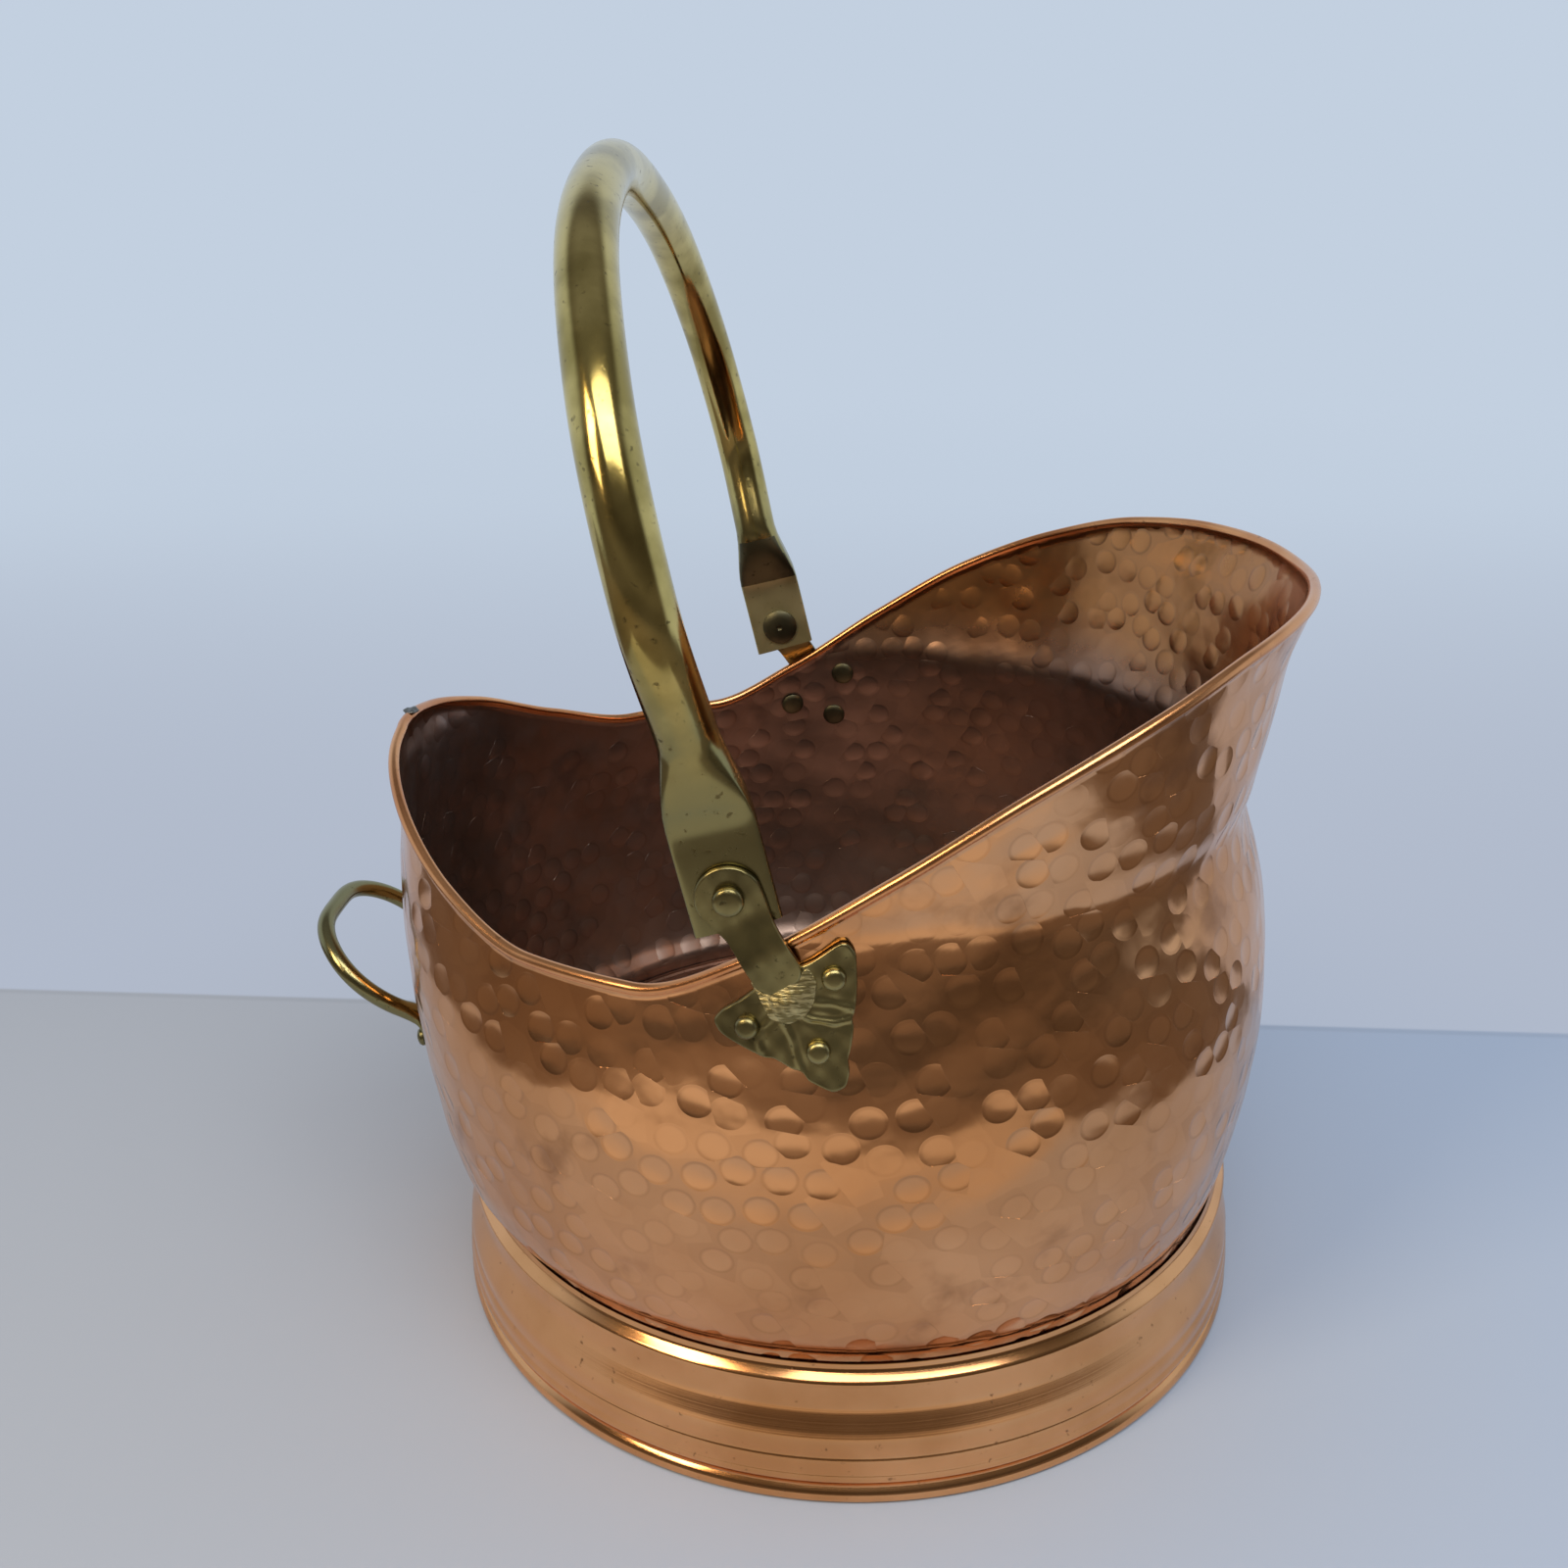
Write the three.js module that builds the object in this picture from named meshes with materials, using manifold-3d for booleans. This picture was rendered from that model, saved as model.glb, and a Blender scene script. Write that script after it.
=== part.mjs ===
// Coal scuttle: hammered copper bucket with a rolled, helmet-cut rim on a spun foot ring, a swinging
// brass tube bail between two riveted leaf brackets, and a fixed brass tipping loop at the back.
// Millimetres, +Z up, +X towards the pouring lip, floor at z = 0. Left and right are mirror images.
import * as THREE from "three";
import Module from "manifold-3d";

const wasm = await Module();
wasm.setup();

// ---------- driving dimensions ----------
const rad = Math.PI / 180;
const seat = 0.3; // gap between two pieces that touch
const around = 64; // segments round the bucket

const sheet = 1.2; // wall of the bucket, floor and foot
const collar = { radius: 133, bottom: 41, top: 49 }; // straight hem of the bucket inside the foot
const fromCollar = (steps) => steps.map((step) => collar.radius + step);
const rimRoll = 1.8; // radius of the rolled rim
const rimBlend = 50; // height over which the wall runs out to the rim radius

// how far the wall stands out from the collar at each height, towards the lip, to the sides and at the back
const wall = {
  z: [49, 54, 62, 75, 90, 105, 120, 135, 150, 163, 174, 183, 192, 205, 220, 235, 252],
  front: [0, 1.4, 3.3, 5.8, 7.9, 8.9, 9.1, 8.3, 6.1, 2.8, -1, -3.2, -1, 1.4, 4.1, 6.8, 12],
  side: [0, 3.4, 6.2, 9, 10.8, 11.4, 10.8, 8.6, 4.6, 1.6, 0.6, 1.2, 2.6, 4.4, 6.4, 8.2, 10],
  back: [0, 6.2, 9.6, 12.3, 14.4, 16.4, 18, 18.8, 18.7, 18, 17.4, 17.4, 18.4, 17.8, 17.2, 17, 17],
};
// the helmet-cut rim by angle from the lip: its height, and how far it stands out from the collar
const rim = {
  angle: [0, 12, 25, 40, 55, 70, 85, 100, 115, 130, 145, 160, 172, 180],
  z: [251, 251.6, 250.9, 247.1, 237.1, 221.6, 199.9, 177.6, 163.2, 163, 173, 188, 196, 198.6],
  radius: [11.2, 10.9, 10.2, 8.6, 7.6, 5.6, 3.2, 1.9, 3.3, 6.4, 11, 15.4, 17, 16.6],
};

const foot = {
  flat: 1.6, // width of the flat that stands on the floor
  // outside of the spun ring over the collar, from the floor up: rolled edge, groove, step, band and top bead
  outside: [
    [5.2, 0], [6.9, 0.7], [7.6, 2.3], [6.9, 4.2], [5.9, 5.2], [6.2, 7], [7.2, 8.6], [6.9, 10.6],
    [6.4, 13.5], [6, 16.6], [5.3, 18.2], [4.8, 23], [4, 30], [3, 36.5], [1.9, 39.3], [3.5, 41.2],
    [3.9, 44.4], [3.4, 47.2], [1.6, 48.9],
  ],
};
const floorPan = { z: 43, flange: 1.2 }; // a low turned-up edge

const pivot = { x: -29, z: 195.5, shank: 2.5, running: 0.1 }; // the bail turns on the shank
const lean = 12.9; // how far the bail leans back from upright, in degrees
const bail = {
  tube: 8, // outside radius
  wall: 1.2,
  flatWidth: 23.5,
  flatThickness: 3.2,
  slot: 0.6, // what is left of the bore where the ends are pressed flat
  flatPlane: collar.radius - 1.8, // distance of the pressed ends from the middle
  below: 9.5, // how far each pressed end runs past the pivot
  flatTo: 19, // height above the pivot where the tube starts to open
  roundFrom: 44,
  archAngle: [14, 30, 46, 62, 78, 90],
  archRadius: fromCollar([0.2, 27, 42.6, 47.2, 45.8, 46.4]),
  stations: 19, // sections on each half of the arch
  sides: 14,
};

const arm = { thickness: 2, eye: 9, neck: 6.6, end: [-14.5, 171.5], kick: 2.9, kickFrom: 8, kickTo: 17 };
const leaf = {
  thickness: 1.6,
  centre: [-11, 164],
  // pressed leaf outline on the wall: three points with small notches between them
  outline: [
    [-27, 166.9], [-31.6, 163.8], [-34, 160.6], [-32.2, 157.6], [-27.4, 155.2], [-20.2, 152.2], [-18.2, 152.6],
    [-12.6, 149.4], [-10.6, 149.2], [-8.6, 146.4], [-2.2, 143.4], [1, 145], [2, 148.8], [1.4, 152.5],
    [2.4, 156], [3, 160.8], [2.4, 163], [3.4, 166], [3.8, 172.6], [3.4, 180.6], [1.2, 183.8],
    [-0.6, 183.8], [-7.5, 179], [-13.5, 176.5], [-21, 172],
  ],
};
const leafRivets = { lower: [-6.3, 154.6], front: [-2.5, 174.2], rear: [-24.4, 160.1] };
const rivet = { shank: 1.6, hole: 1.9, head: 3.2, dome: 2.3, inside: 4.1, insideHeight: 1.2, sides: 12 };
const pivotRivet = { head: 4.1, dome: 2.6, inside: 6.3, insideHeight: 1.9, sides: 24 };

const loop = {
  rod: 3, // radius
  halfWidth: 24.3,
  swell: 0.3, // how much wider the loop is halfway out
  square: 4, // squareness of its far corners
  reach: 45.7, // along its own slope
  rise: 42, // slope in degrees
  root: 96.5, // height where it leaves the wall
  pad: { drop: 13, halfWidth: 5, halfThickness: 1.2, rivetDrop: 8 },
  sides: 10,
};

// ---------- helpers ----------
const v = (x, y, z) => new THREE.Vector3(x, y, z);
const smooth = (a, b, t) => THREE.MathUtils.smoothstep(t, a, b);
const mix = THREE.MathUtils.lerp;

// smooth curve through a table that never overshoots it (monotone cubic)
function table(xs, ys) {
  const n = xs.length;
  const d = xs.slice(1).map((x, i) => (ys[i + 1] - ys[i]) / (x - xs[i]));
  const m = xs.map((_, i) => {
    if (i === 0 || i === n - 1) return 0;
    return d[i - 1] * d[i] <= 0 ? 0 : (2 * d[i - 1] * d[i]) / (d[i - 1] + d[i]);
  });
  return (x) => {
    const i = Math.max(0, Math.min(n - 2, xs.findLastIndex((a) => a <= x)));
    const h = xs[i + 1] - xs[i];
    const t = Math.max(0, Math.min(1, (x - xs[i]) / h));
    const s = 1 - t;
    return ys[i] * (1 + 2 * t) * s * s + h * m[i] * t * s * s
      + ys[i + 1] * (3 - 2 * t) * t * t - h * m[i + 1] * t * t * s;
  };
}
const frontAt = table(wall.z, fromCollar(wall.front));
const sideAt = table(wall.z, fromCollar(wall.side));
const backAt = table(wall.z, fromCollar(wall.back));
const rimZ = table(rim.angle, rim.z);
const rimR = table(rim.angle, fromCollar(rim.radius));
const rimAngle = (theta) => Math.abs(Math.atan2(Math.sin(theta), Math.cos(theta))) / rad;

// outside radius of the bucket at an angle from the lip and a height
function plainRadius(theta, z) {
  const c = Math.cos(theta);
  return mix(sideAt(z), c > 0 ? frontAt(z) : backAt(z), c * c);
}
function wallRadius(theta, z) {
  const a = rimAngle(theta);
  const top = rimZ(a);
  const pull = smooth(top - rimBlend, top, z);
  return plainRadius(theta, z) + pull * (rimR(a) - plainRadius(theta, top));
}
function wallPoint(theta, z, out = 0) {
  const r = wallRadius(theta, z) + out;
  return v(r * Math.cos(theta), r * Math.sin(theta), z);
}
// angle of the wall point that has this x, on the +y side
function angleAtX(x, z) {
  let theta = Math.PI / 2;
  for (let i = 0; i < 12; i++) theta = Math.acos(x / wallRadius(theta, z));
  return theta;
}
function wallNormal(theta, z) {
  const a = wallPoint(theta + 0.01, z).sub(wallPoint(theta - 0.01, z));
  const b = wallPoint(theta, z + 1).sub(wallPoint(theta, z - 1));
  return a.cross(b).normalize();
}

// solid from rings of points; every ring is a closed loop, and the ends are capped unless it closes
function skin(rings, closed) {
  const n = rings[0].length;
  const points = rings.flat();
  const faces = [];
  const last = closed ? rings.length : rings.length - 1;
  for (let i = 0; i < last; i++) {
    const p = i * n;
    const q = ((i + 1) % rings.length) * n;
    for (let j = 0; j < n; j++) {
      const k = (j + 1) % n;
      faces.push([p + j, p + k, q + k], [p + j, q + k, q + j]);
    }
  }
  if (!closed) {
    for (const [start, flip] of [[0, true], [last * n, false]]) {
      const middle = points.length;
      points.push(points.slice(start, start + n).reduce((s, p) => s.add(p), v(0, 0, 0)).divideScalar(n));
      for (let j = 0; j < n; j++) {
        const k = (j + 1) % n;
        faces.push(flip ? [middle, start + k, start + j] : [middle, start + j, start + k]);
      }
    }
  }
  return solid(points, faces);
}
// closed solid from points and faces, turned to face outwards
function solid(points, faces) {
  let volume = 0;
  for (const [a, b, c] of faces) volume += points[a].dot(points[b].clone().cross(points[c]));
  const tris = volume < 0 ? faces.map(([a, b, c]) => [a, c, b]) : faces;
  const mesh = new wasm.Mesh({
    numProp: 3,
    vertProperties: new Float32Array(points.flatMap((p) => [p.x, p.y, p.z])),
    triVerts: new Uint32Array(tris.flat()),
  });
  mesh.merge();
  return new wasm.Manifold(mesh);
}
// turned solid about an axis: profile of [radius, height along the axis]
function turned(profile, sides, centre, axis) {
  const turn = new THREE.Quaternion().setFromUnitVectors(v(0, 0, 1), axis);
  const rings = [];
  for (let i = 0; i < sides; i++) {
    const t = (i / sides) * 2 * Math.PI;
    const [c, s] = [Math.cos(t), Math.sin(t)];
    rings.push(profile.map(([r, h]) => v(r * c, r * s, h).applyQuaternion(turn).add(centre)));
  }
  return skin(rings, true);
}
function rod(radius, from, to, sides, centre, axis) {
  const turn = new THREE.Quaternion().setFromUnitVectors(v(0, 0, 1), axis);
  const rings = [from, to].map((h) => Array.from({ length: sides }, (_, i) => {
    const t = (i / sides) * 2 * Math.PI;
    return v(radius * Math.cos(t), radius * Math.sin(t), h).applyQuaternion(turn).add(centre);
  }));
  return skin(rings, false);
}
// rivet with a domed head outside and a flat one inside; the shank runs along the axis
function rivetSolid(size, shank, headAt, insideAt, centre, axis) {
  const profile = [
    [0.01, insideAt - size.insideHeight], [size.inside * 0.8, insideAt - size.insideHeight],
    [size.inside, insideAt - 0.4 * size.insideHeight], [size.inside, insideAt], [shank, insideAt],
    [shank, headAt], [size.head, headAt], [size.head * 0.96, headAt + 0.45 * size.dome],
    [size.head * 0.55, headAt + 0.95 * size.dome], [0.01, headAt + size.dome],
  ];
  const turn = new THREE.Quaternion().setFromUnitVectors(v(0, 0, 1), axis);
  const rings = profile.map(([r, h]) => Array.from({ length: size.sides }, (_, i) => {
    const t = (i / size.sides) * 2 * Math.PI;
    return v(r * Math.cos(t), r * Math.sin(t), h).applyQuaternion(turn).add(centre);
  }));
  return skin(rings, false);
}
// superellipse section in the plane of two directions
function section(centre, across, through, a, b, power, sides) {
  return Array.from({ length: sides }, (_, i) => {
    const t = ((i + 0.5) / sides) * 2 * Math.PI;
    const c = Math.sign(Math.cos(t)) * Math.abs(Math.cos(t)) ** (2 / power) * a;
    const s = Math.sign(Math.sin(t)) * Math.abs(Math.sin(t)) ** (2 / power) * b;
    return centre.clone().addScaledVector(across, c).addScaledVector(through, s);
  });
}
// sheet slab over an outline in x and z; insideY gives its inner face, and it is built on the +y side
function slab(outline, centre, steps, insideY, thickness) {
  const n = outline.length;
  const grid = [];
  for (const k of steps) {
    for (const p of outline) grid.push([mix(centre[0], p[0], k), mix(centre[1], p[1], k)]);
  }
  grid.push(centre);
  const inner = grid.map(([x, z]) => v(x, insideY(x, z), z));
  const outer = grid.map(([x, z]) => v(x, insideY(x, z) + thickness, z));
  const m = grid.length;
  const faces = [];
  for (let i = 0; i < steps.length; i++) {
    for (let j = 0; j < n; j++) {
      const k = (j + 1) % n;
      const [a, b] = [i * n + j, i * n + k];
      const [c, d] = i + 1 < steps.length ? [a + n, b + n] : [m - 1, m - 1];
      faces.push([a, b, d], [a + m, d + m, b + m]);
      if (c !== d) faces.push([a, d, c], [a + m, c + m, d + m]);
      if (i === 0) faces.push([a, a + m, b + m], [a, b + m, b]);
    }
  }
  return solid([...inner, ...outer], faces);
}
// the same solid on the other side of the middle
const other = (m) => m.mirror([0, 1, 0]);
const bySide = { near: other, far: (m) => m };

// ---------- bucket ----------
function bucket() {
  const levels = 20;
  const rings = [];
  for (let i = 0; i < around; i++) {
    const theta = (i / around) * 2 * Math.PI;
    const c = v(Math.cos(theta), Math.sin(theta), 0);
    const a = rimAngle(theta);
    const [top, lip] = [rimZ(a), rimR(a) - sheet / 2];
    const outer = [[collar.radius, collar.bottom]];
    const inner = [[collar.radius - sheet, collar.bottom]];
    for (let k = 0; k <= levels; k++) {
      const z = mix(collar.top, top - rimRoll, k / levels);
      const r = wallRadius(theta, z);
      outer.push([r, z]);
      inner.push([r - sheet, z]);
    }
    const roll = [-30, 20, 70, 110, 160, 210].map((t) => [
      lip + rimRoll * Math.cos(t * rad), top + rimRoll * Math.sin(t * rad),
    ]);
    rings.push([...outer, ...roll, ...inner.reverse()].map(([r, z]) => v(c.x * r, c.y * r, z)));
  }
  return skin(rings, true);
}

// ---------- foot and floor ----------
function footRing() {
  const out = foot.outside.map(([over, z]) => [collar.radius + over, z]);
  const inner = out.map(([r, z], i) => {
    const [p, q] = [out[Math.max(0, i - 1)], out[Math.min(out.length - 1, i + 1)]];
    const [dr, dz] = [q[0] - p[0], q[1] - p[1]];
    const k = sheet / Math.hypot(dr, dz);
    return [Math.min(r - dz * k, r - 0.8), z + dr * k];
  });
  const low = [[out[0][0] - foot.flat, 0], [out[0][0] - foot.flat - 0.6, 0.9]];
  const least = collar.radius + seat;
  const inside = inner.filter(([, z]) => z > 2.5 && z < 46).map(([r, z]) => [Math.max(r, least), z]);
  const neck = [[least, 48.4]];
  const centre = v(0, 0, 0);
  return turned([...out, ...neck, ...inside.reverse(), ...low.reverse()], around, centre, v(0, 0, 1));
}
function pan() {
  const r = collar.radius - sheet - seat;
  const [z, t] = [floorPan.z, sheet];
  const up = z + floorPan.flange;
  const rings = [[0.01, z - t], [r * 0.5, z - t], [r - 1, z - t], [r, z - t + 1], [r, up], [r - t, up],
    [r - t, z + 0.6], [r - t - 1, z], [r * 0.5, z], [0.01, z]];
  return skin(rings.map(([q, h]) => Array.from({ length: around }, (_, i) => {
    const a = (i / around) * 2 * Math.PI;
    return v(q * Math.cos(a), q * Math.sin(a), h);
  })), false);
}

// ---------- bail ----------
// bail plane: h up along the legs from the pivot, y across, and w square to the plane
const up = v(-Math.sin(lean * rad), 0, Math.cos(lean * rad));
const forward = v(Math.cos(lean * rad), 0, Math.sin(lean * rad));
const pivotAt = (y) => v(pivot.x, y, pivot.z);
const archAt = table([...bail.archAngle, ...bail.archAngle.slice(0, -1).reverse().map((a) => 180 - a)],
  [...bail.archRadius, ...bail.archRadius.slice(0, -1).reverse()]);

function bailLine() {
  const half = [];
  for (const h of [-bail.below, 0, bail.flatTo * 0.55, bail.flatTo]) half.push([bail.flatPlane, h]);
  const start = bail.archAngle[0] + 2.2;
  for (let i = 0; i <= bail.stations; i++) {
    const a = mix(start, 90, i / bail.stations);
    half.push([archAt(a) * Math.cos(a * rad), archAt(a) * Math.sin(a * rad)]);
  }
  return [...half.map(([y, h]) => [-y, h]), ...half.slice(0, -1).reverse()];
}
// what cuts the pivot holes, from the far end of the hinge line or from its middle
function pivotBore(from) {
  const reach = bail.flatPlane + bail.tube + bail.flatWidth;
  return rod(pivot.shank + pivot.running, from * reach, reach, pivotRivet.sides, pivotAt(0), v(0, 1, 0));
}
function bailTube() {
  const line = bailLine();
  const outer = [];
  const bore = [];
  line.forEach(([y, h], i) => {
    const p = line[Math.max(0, i - 1)];
    const q = line[Math.min(line.length - 1, i + 1)];
    const flat = h <= bail.flatTo;
    const along = flat ? v(0, 0, 0).addScaledVector(up, Math.sign(-y) || 1)
      : v(0, q[0] - p[0], 0).addScaledVector(up, q[1] - p[1]).normalize();
    const through = along.clone().cross(forward).normalize();
    const open = smooth(bail.flatTo, bail.roundFrom, h);
    const a = mix(bail.flatWidth / 2, bail.tube, open);
    const b = mix(bail.flatThickness / 2, bail.tube, Math.sqrt(open));
    const power = mix(5, 2, open);
    const centre = pivotAt(y).addScaledVector(up, h);
    outer.push(section(centre, forward, through, a, b, power, bail.sides));
    const gap = mix(bail.slot / 2, bail.tube - bail.wall, Math.sqrt(open));
    bore.push(section(centre, forward, through, a - bail.wall, gap, power, bail.sides));
  });
  const rings = [...outer, ...bore.reverse()];
  let tube = skin(rings, true);
  tube = tube.subtract(pivotBore(-1));
  return tube;
}

// ---------- brackets, built on the +y side ----------
const armInside = bail.flatPlane + bail.flatThickness / 2 + seat;
function wallY(x, z) {
  return wallPoint(angleAtX(x, z), z).y;
}
const leafInside = (x, z) => wallY(x, Math.min(z, rimZ(rimAngle(angleAtX(x, z))) - 2 * rimRoll)) + seat;
function leafPlate() {
  let plate = slab(leaf.outline, leaf.centre, [1, 0.75, 0.45], leafInside, leaf.thickness);
  for (const [x, z] of Object.values(leafRivets)) plate = plate.subtract(drill(x, z));
  return plate;
}
function drill(x, z) {
  const theta = angleAtX(x, z);
  return rod(rivet.hole, -8, 8, rivet.sides, wallPoint(theta, z), wallNormal(theta, z));
}
function armStrip() {
  const [dx, dz] = [arm.end[0] - pivot.x, arm.end[1] - pivot.z];
  const length = Math.hypot(dx, dz);
  const [ux, uz] = [dx / length, dz / length];
  const place = (s, w) => [pivot.x + ux * s - uz * w, pivot.z + uz * s + ux * w];
  const outline = [];
  for (let t = 90; t <= 270; t += 20) {
    outline.push(place(arm.eye * Math.cos(t * rad), arm.eye * Math.sin(t * rad)));
  }
  const width = (s) => mix(arm.eye, arm.neck, smooth(0, 12, s));
  for (const s of [5, 10, 14, 18, length - 3]) outline.push(place(s, -width(s)));
  outline.push(place(length, -arm.neck + 2.5), place(length, arm.neck - 2.5));
  for (const s of [length - 3, 18, 14, 10, 5]) outline.push(place(s, width(s)));
  const rise = (x, z) => {
    const s = (x - pivot.x) * ux + (z - pivot.z) * uz;
    return armInside + arm.kick * smooth(arm.kickFrom, arm.kickTo, s);
  };
  const strip = slab(outline, place(8, 0), [1, 0.7, 0.4], rise, arm.thickness);
  return strip.subtract(pivotBore(0));
}
function leafRivet(name) {
  const [x, z] = leafRivets[name];
  const theta = angleAtX(x, z);
  const headAt = seat + leaf.thickness + seat;
  return rivetSolid(rivet, rivet.shank, headAt, -sheet - seat, wallPoint(theta, z), wallNormal(theta, z));
}
function pivotRivetSolid() {
  const headAt = armInside + arm.thickness + seat;
  const insideAt = bail.flatPlane - bail.flatThickness / 2 - seat;
  return rivetSolid(pivotRivet, pivot.shank, headAt, insideAt, pivotAt(0), v(0, 1, 0));
}

// ---------- tipping loop at the back ----------
const loopAngle = (y) => Math.PI - Math.asin(y / wallRadius(Math.PI, loop.root));
function padPoint(y, drop, out) {
  const theta = loopAngle(y);
  return wallPoint(theta, loop.root - drop, out);
}
const padOut = loop.pad.halfThickness + seat + 0.25; // the flat pad clears the curve of the wall
function loopRod() {
  const stations = [];
  const y0 = loop.halfWidth;
  for (const drop of [loop.pad.drop, loop.pad.drop - 2.5, loop.pad.rivetDrop, 3]) {
    stations.push({ p: padPoint(y0, drop, padOut), flat: drop === loop.pad.drop ? 0.7 : 1 });
  }
  stations.push({ p: padPoint(y0, -0.6, padOut + 1.4), flat: 0.5 });
  const x0 = padPoint(0, 0, 0).x - 1;
  const steps = 11;
  for (let i = 1; i <= steps; i++) {
    const t = (i / steps) * 90 * rad;
    const u = Math.abs(Math.sin(t)) ** (2 / loop.square);
    const w = Math.abs(Math.cos(t)) ** (2 / loop.square) * (1 + loop.swell * u * (1 - u) * 4);
    if (u * loop.reach < 6) continue;
    const run = u * loop.reach * Math.cos(loop.rise * rad);
    const lift = u * loop.reach * Math.sin(loop.rise * rad);
    stations.push({ p: v(x0 - run, y0 * w, loop.root + lift), flat: 0 });
  }
  const half = stations.slice(0, -1);
  const mirrored = half.map(({ p, flat }) => ({ p: v(p.x, -p.y, p.z), flat })).reverse();
  const line = [...stations, ...mirrored];
  const normal = v(-Math.sin(loop.rise * rad), 0, -Math.cos(loop.rise * rad));
  const rings = line.map(({ p, flat }, i) => {
    const a = line[Math.max(0, i - 1)].p;
    const b = line[Math.min(line.length - 1, i + 1)].p;
    const along = b.clone().sub(a).normalize();
    const face = v(p.x, p.y, 0).normalize();
    const through = normal.clone().lerp(face, flat ? 1 : 0).normalize();
    through.addScaledVector(along, -through.dot(along)).normalize();
    const across = along.clone().cross(through).normalize();
    const full = flat > 0.9 ? 1 : flat;
    const w = mix(loop.rod, loop.pad.halfWidth, full);
    const t = mix(loop.rod, loop.pad.halfThickness, flat > 0 ? Math.max(flat, 0.7) : 0);
    return section(p, across, through, w, t, mix(2, 3, full), loop.sides);
  });
  let handle = skin(rings, false);
  for (const side of [1, -1]) handle = handle.subtract(loopDrill(side));
  return handle;
}
function loopSpot(side) {
  const theta = loopAngle(side * loop.halfWidth);
  const z = loop.root - loop.pad.rivetDrop;
  return [wallPoint(theta, z), wallNormal(theta, z)];
}
function loopDrill(side) {
  const [p, n] = loopSpot(side);
  return rod(rivet.hole, -8, 8, rivet.sides, p, n);
}
function loopRivet(side) {
  const [p, n] = loopSpot(side);
  const headAt = padOut + loop.pad.halfThickness + seat;
  return rivetSolid(rivet, rivet.shank, headAt, -sheet - seat, p, n);
}

// ---------- assembly ----------
const pieces = [];
const add = (name, shape, colour) => pieces.push({ name, shape, colour });
const copper = 0xb5714a;
const brass = 0x9a8a4c;

let shell = bucket();
for (const flip of Object.values(bySide)) {
  for (const [x, z] of Object.values(leafRivets)) shell = shell.subtract(flip(drill(x, z)));
}
for (const side of [1, -1]) shell = shell.subtract(loopDrill(side));
add("bucket_shell", shell, copper);
add("floor_pan", pan(), copper);
add("foot_ring", footRing(), copper);
add("bail_handle", bailTube(), brass);
for (const [side, flip] of Object.entries(bySide)) {
  add(`bracket_arm_${side}`, flip(armStrip()), brass);
  add(`bracket_leaf_${side}`, flip(leafPlate()), brass);
  add(`pivot_rivet_${side}`, flip(pivotRivetSolid()), brass);
  for (const name of Object.keys(leafRivets)) add(`leaf_rivet_${name}_${side}`, flip(leafRivet(name)), brass);
}
add("tipping_loop", loopRod(), brass);
add("loop_rivet_near", loopRivet(-1), brass);
add("loop_rivet_far", loopRivet(1), brass);

// the frame's origin is under the middle of the whole outline
const low = Math.min(...pieces.map(({ shape }) => shape.boundingBox().min[0]));
const high = Math.max(...pieces.map(({ shape }) => shape.boundingBox().max[0]));
const shift = -(low + high) / 2;

const group = new THREE.Group();
group.name = "coal_scuttle";
for (const { name, shape, colour } of pieces) {
  const mesh = shape.translate([shift, 0, 0]).getMesh();
  const geometry = new THREE.BufferGeometry();
  geometry.setAttribute("position", new THREE.BufferAttribute(new Float32Array(mesh.vertProperties), 3));
  geometry.setIndex(new THREE.BufferAttribute(new Uint32Array(mesh.triVerts), 1));
  geometry.computeVertexNormals();
  const material = new THREE.MeshStandardMaterial({ color: colour, metalness: 1, roughness: 0.35 });
  const node = new THREE.Mesh(geometry, material);
  node.name = name;
  group.add(node);
}

export default group;
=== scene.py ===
"""Looks of the hammered copper coal scuttle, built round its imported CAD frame."""

import logging
import math
from dataclasses import dataclass, field
from enum import Enum
from typing import Any, Callable, Optional, Sequence

import bpy
import numpy as np
from mathutils import Matrix, Vector


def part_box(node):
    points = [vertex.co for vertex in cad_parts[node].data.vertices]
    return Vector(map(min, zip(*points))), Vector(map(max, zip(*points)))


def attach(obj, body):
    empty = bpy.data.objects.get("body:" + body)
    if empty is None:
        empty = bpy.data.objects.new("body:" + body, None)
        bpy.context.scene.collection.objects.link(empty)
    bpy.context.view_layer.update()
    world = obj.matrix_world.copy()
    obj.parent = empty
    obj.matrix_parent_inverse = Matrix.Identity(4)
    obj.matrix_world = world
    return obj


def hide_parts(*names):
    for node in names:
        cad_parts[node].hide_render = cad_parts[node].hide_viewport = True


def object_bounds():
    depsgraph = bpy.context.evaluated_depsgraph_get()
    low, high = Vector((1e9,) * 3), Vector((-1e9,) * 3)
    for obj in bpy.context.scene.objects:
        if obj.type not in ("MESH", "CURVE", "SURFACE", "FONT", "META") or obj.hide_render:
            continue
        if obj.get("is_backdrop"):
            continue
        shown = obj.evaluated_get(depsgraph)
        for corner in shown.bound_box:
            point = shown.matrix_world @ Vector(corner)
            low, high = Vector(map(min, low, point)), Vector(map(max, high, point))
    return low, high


logging.basicConfig(level=logging.INFO, format="%(message)s")
log = logging.getLogger("scuttle")

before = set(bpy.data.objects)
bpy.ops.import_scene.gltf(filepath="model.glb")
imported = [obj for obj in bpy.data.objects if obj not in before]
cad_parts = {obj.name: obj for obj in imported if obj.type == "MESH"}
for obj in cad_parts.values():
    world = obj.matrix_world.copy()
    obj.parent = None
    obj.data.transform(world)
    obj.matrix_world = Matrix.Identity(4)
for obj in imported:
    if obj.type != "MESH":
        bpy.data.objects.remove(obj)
CAD_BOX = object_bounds()

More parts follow.
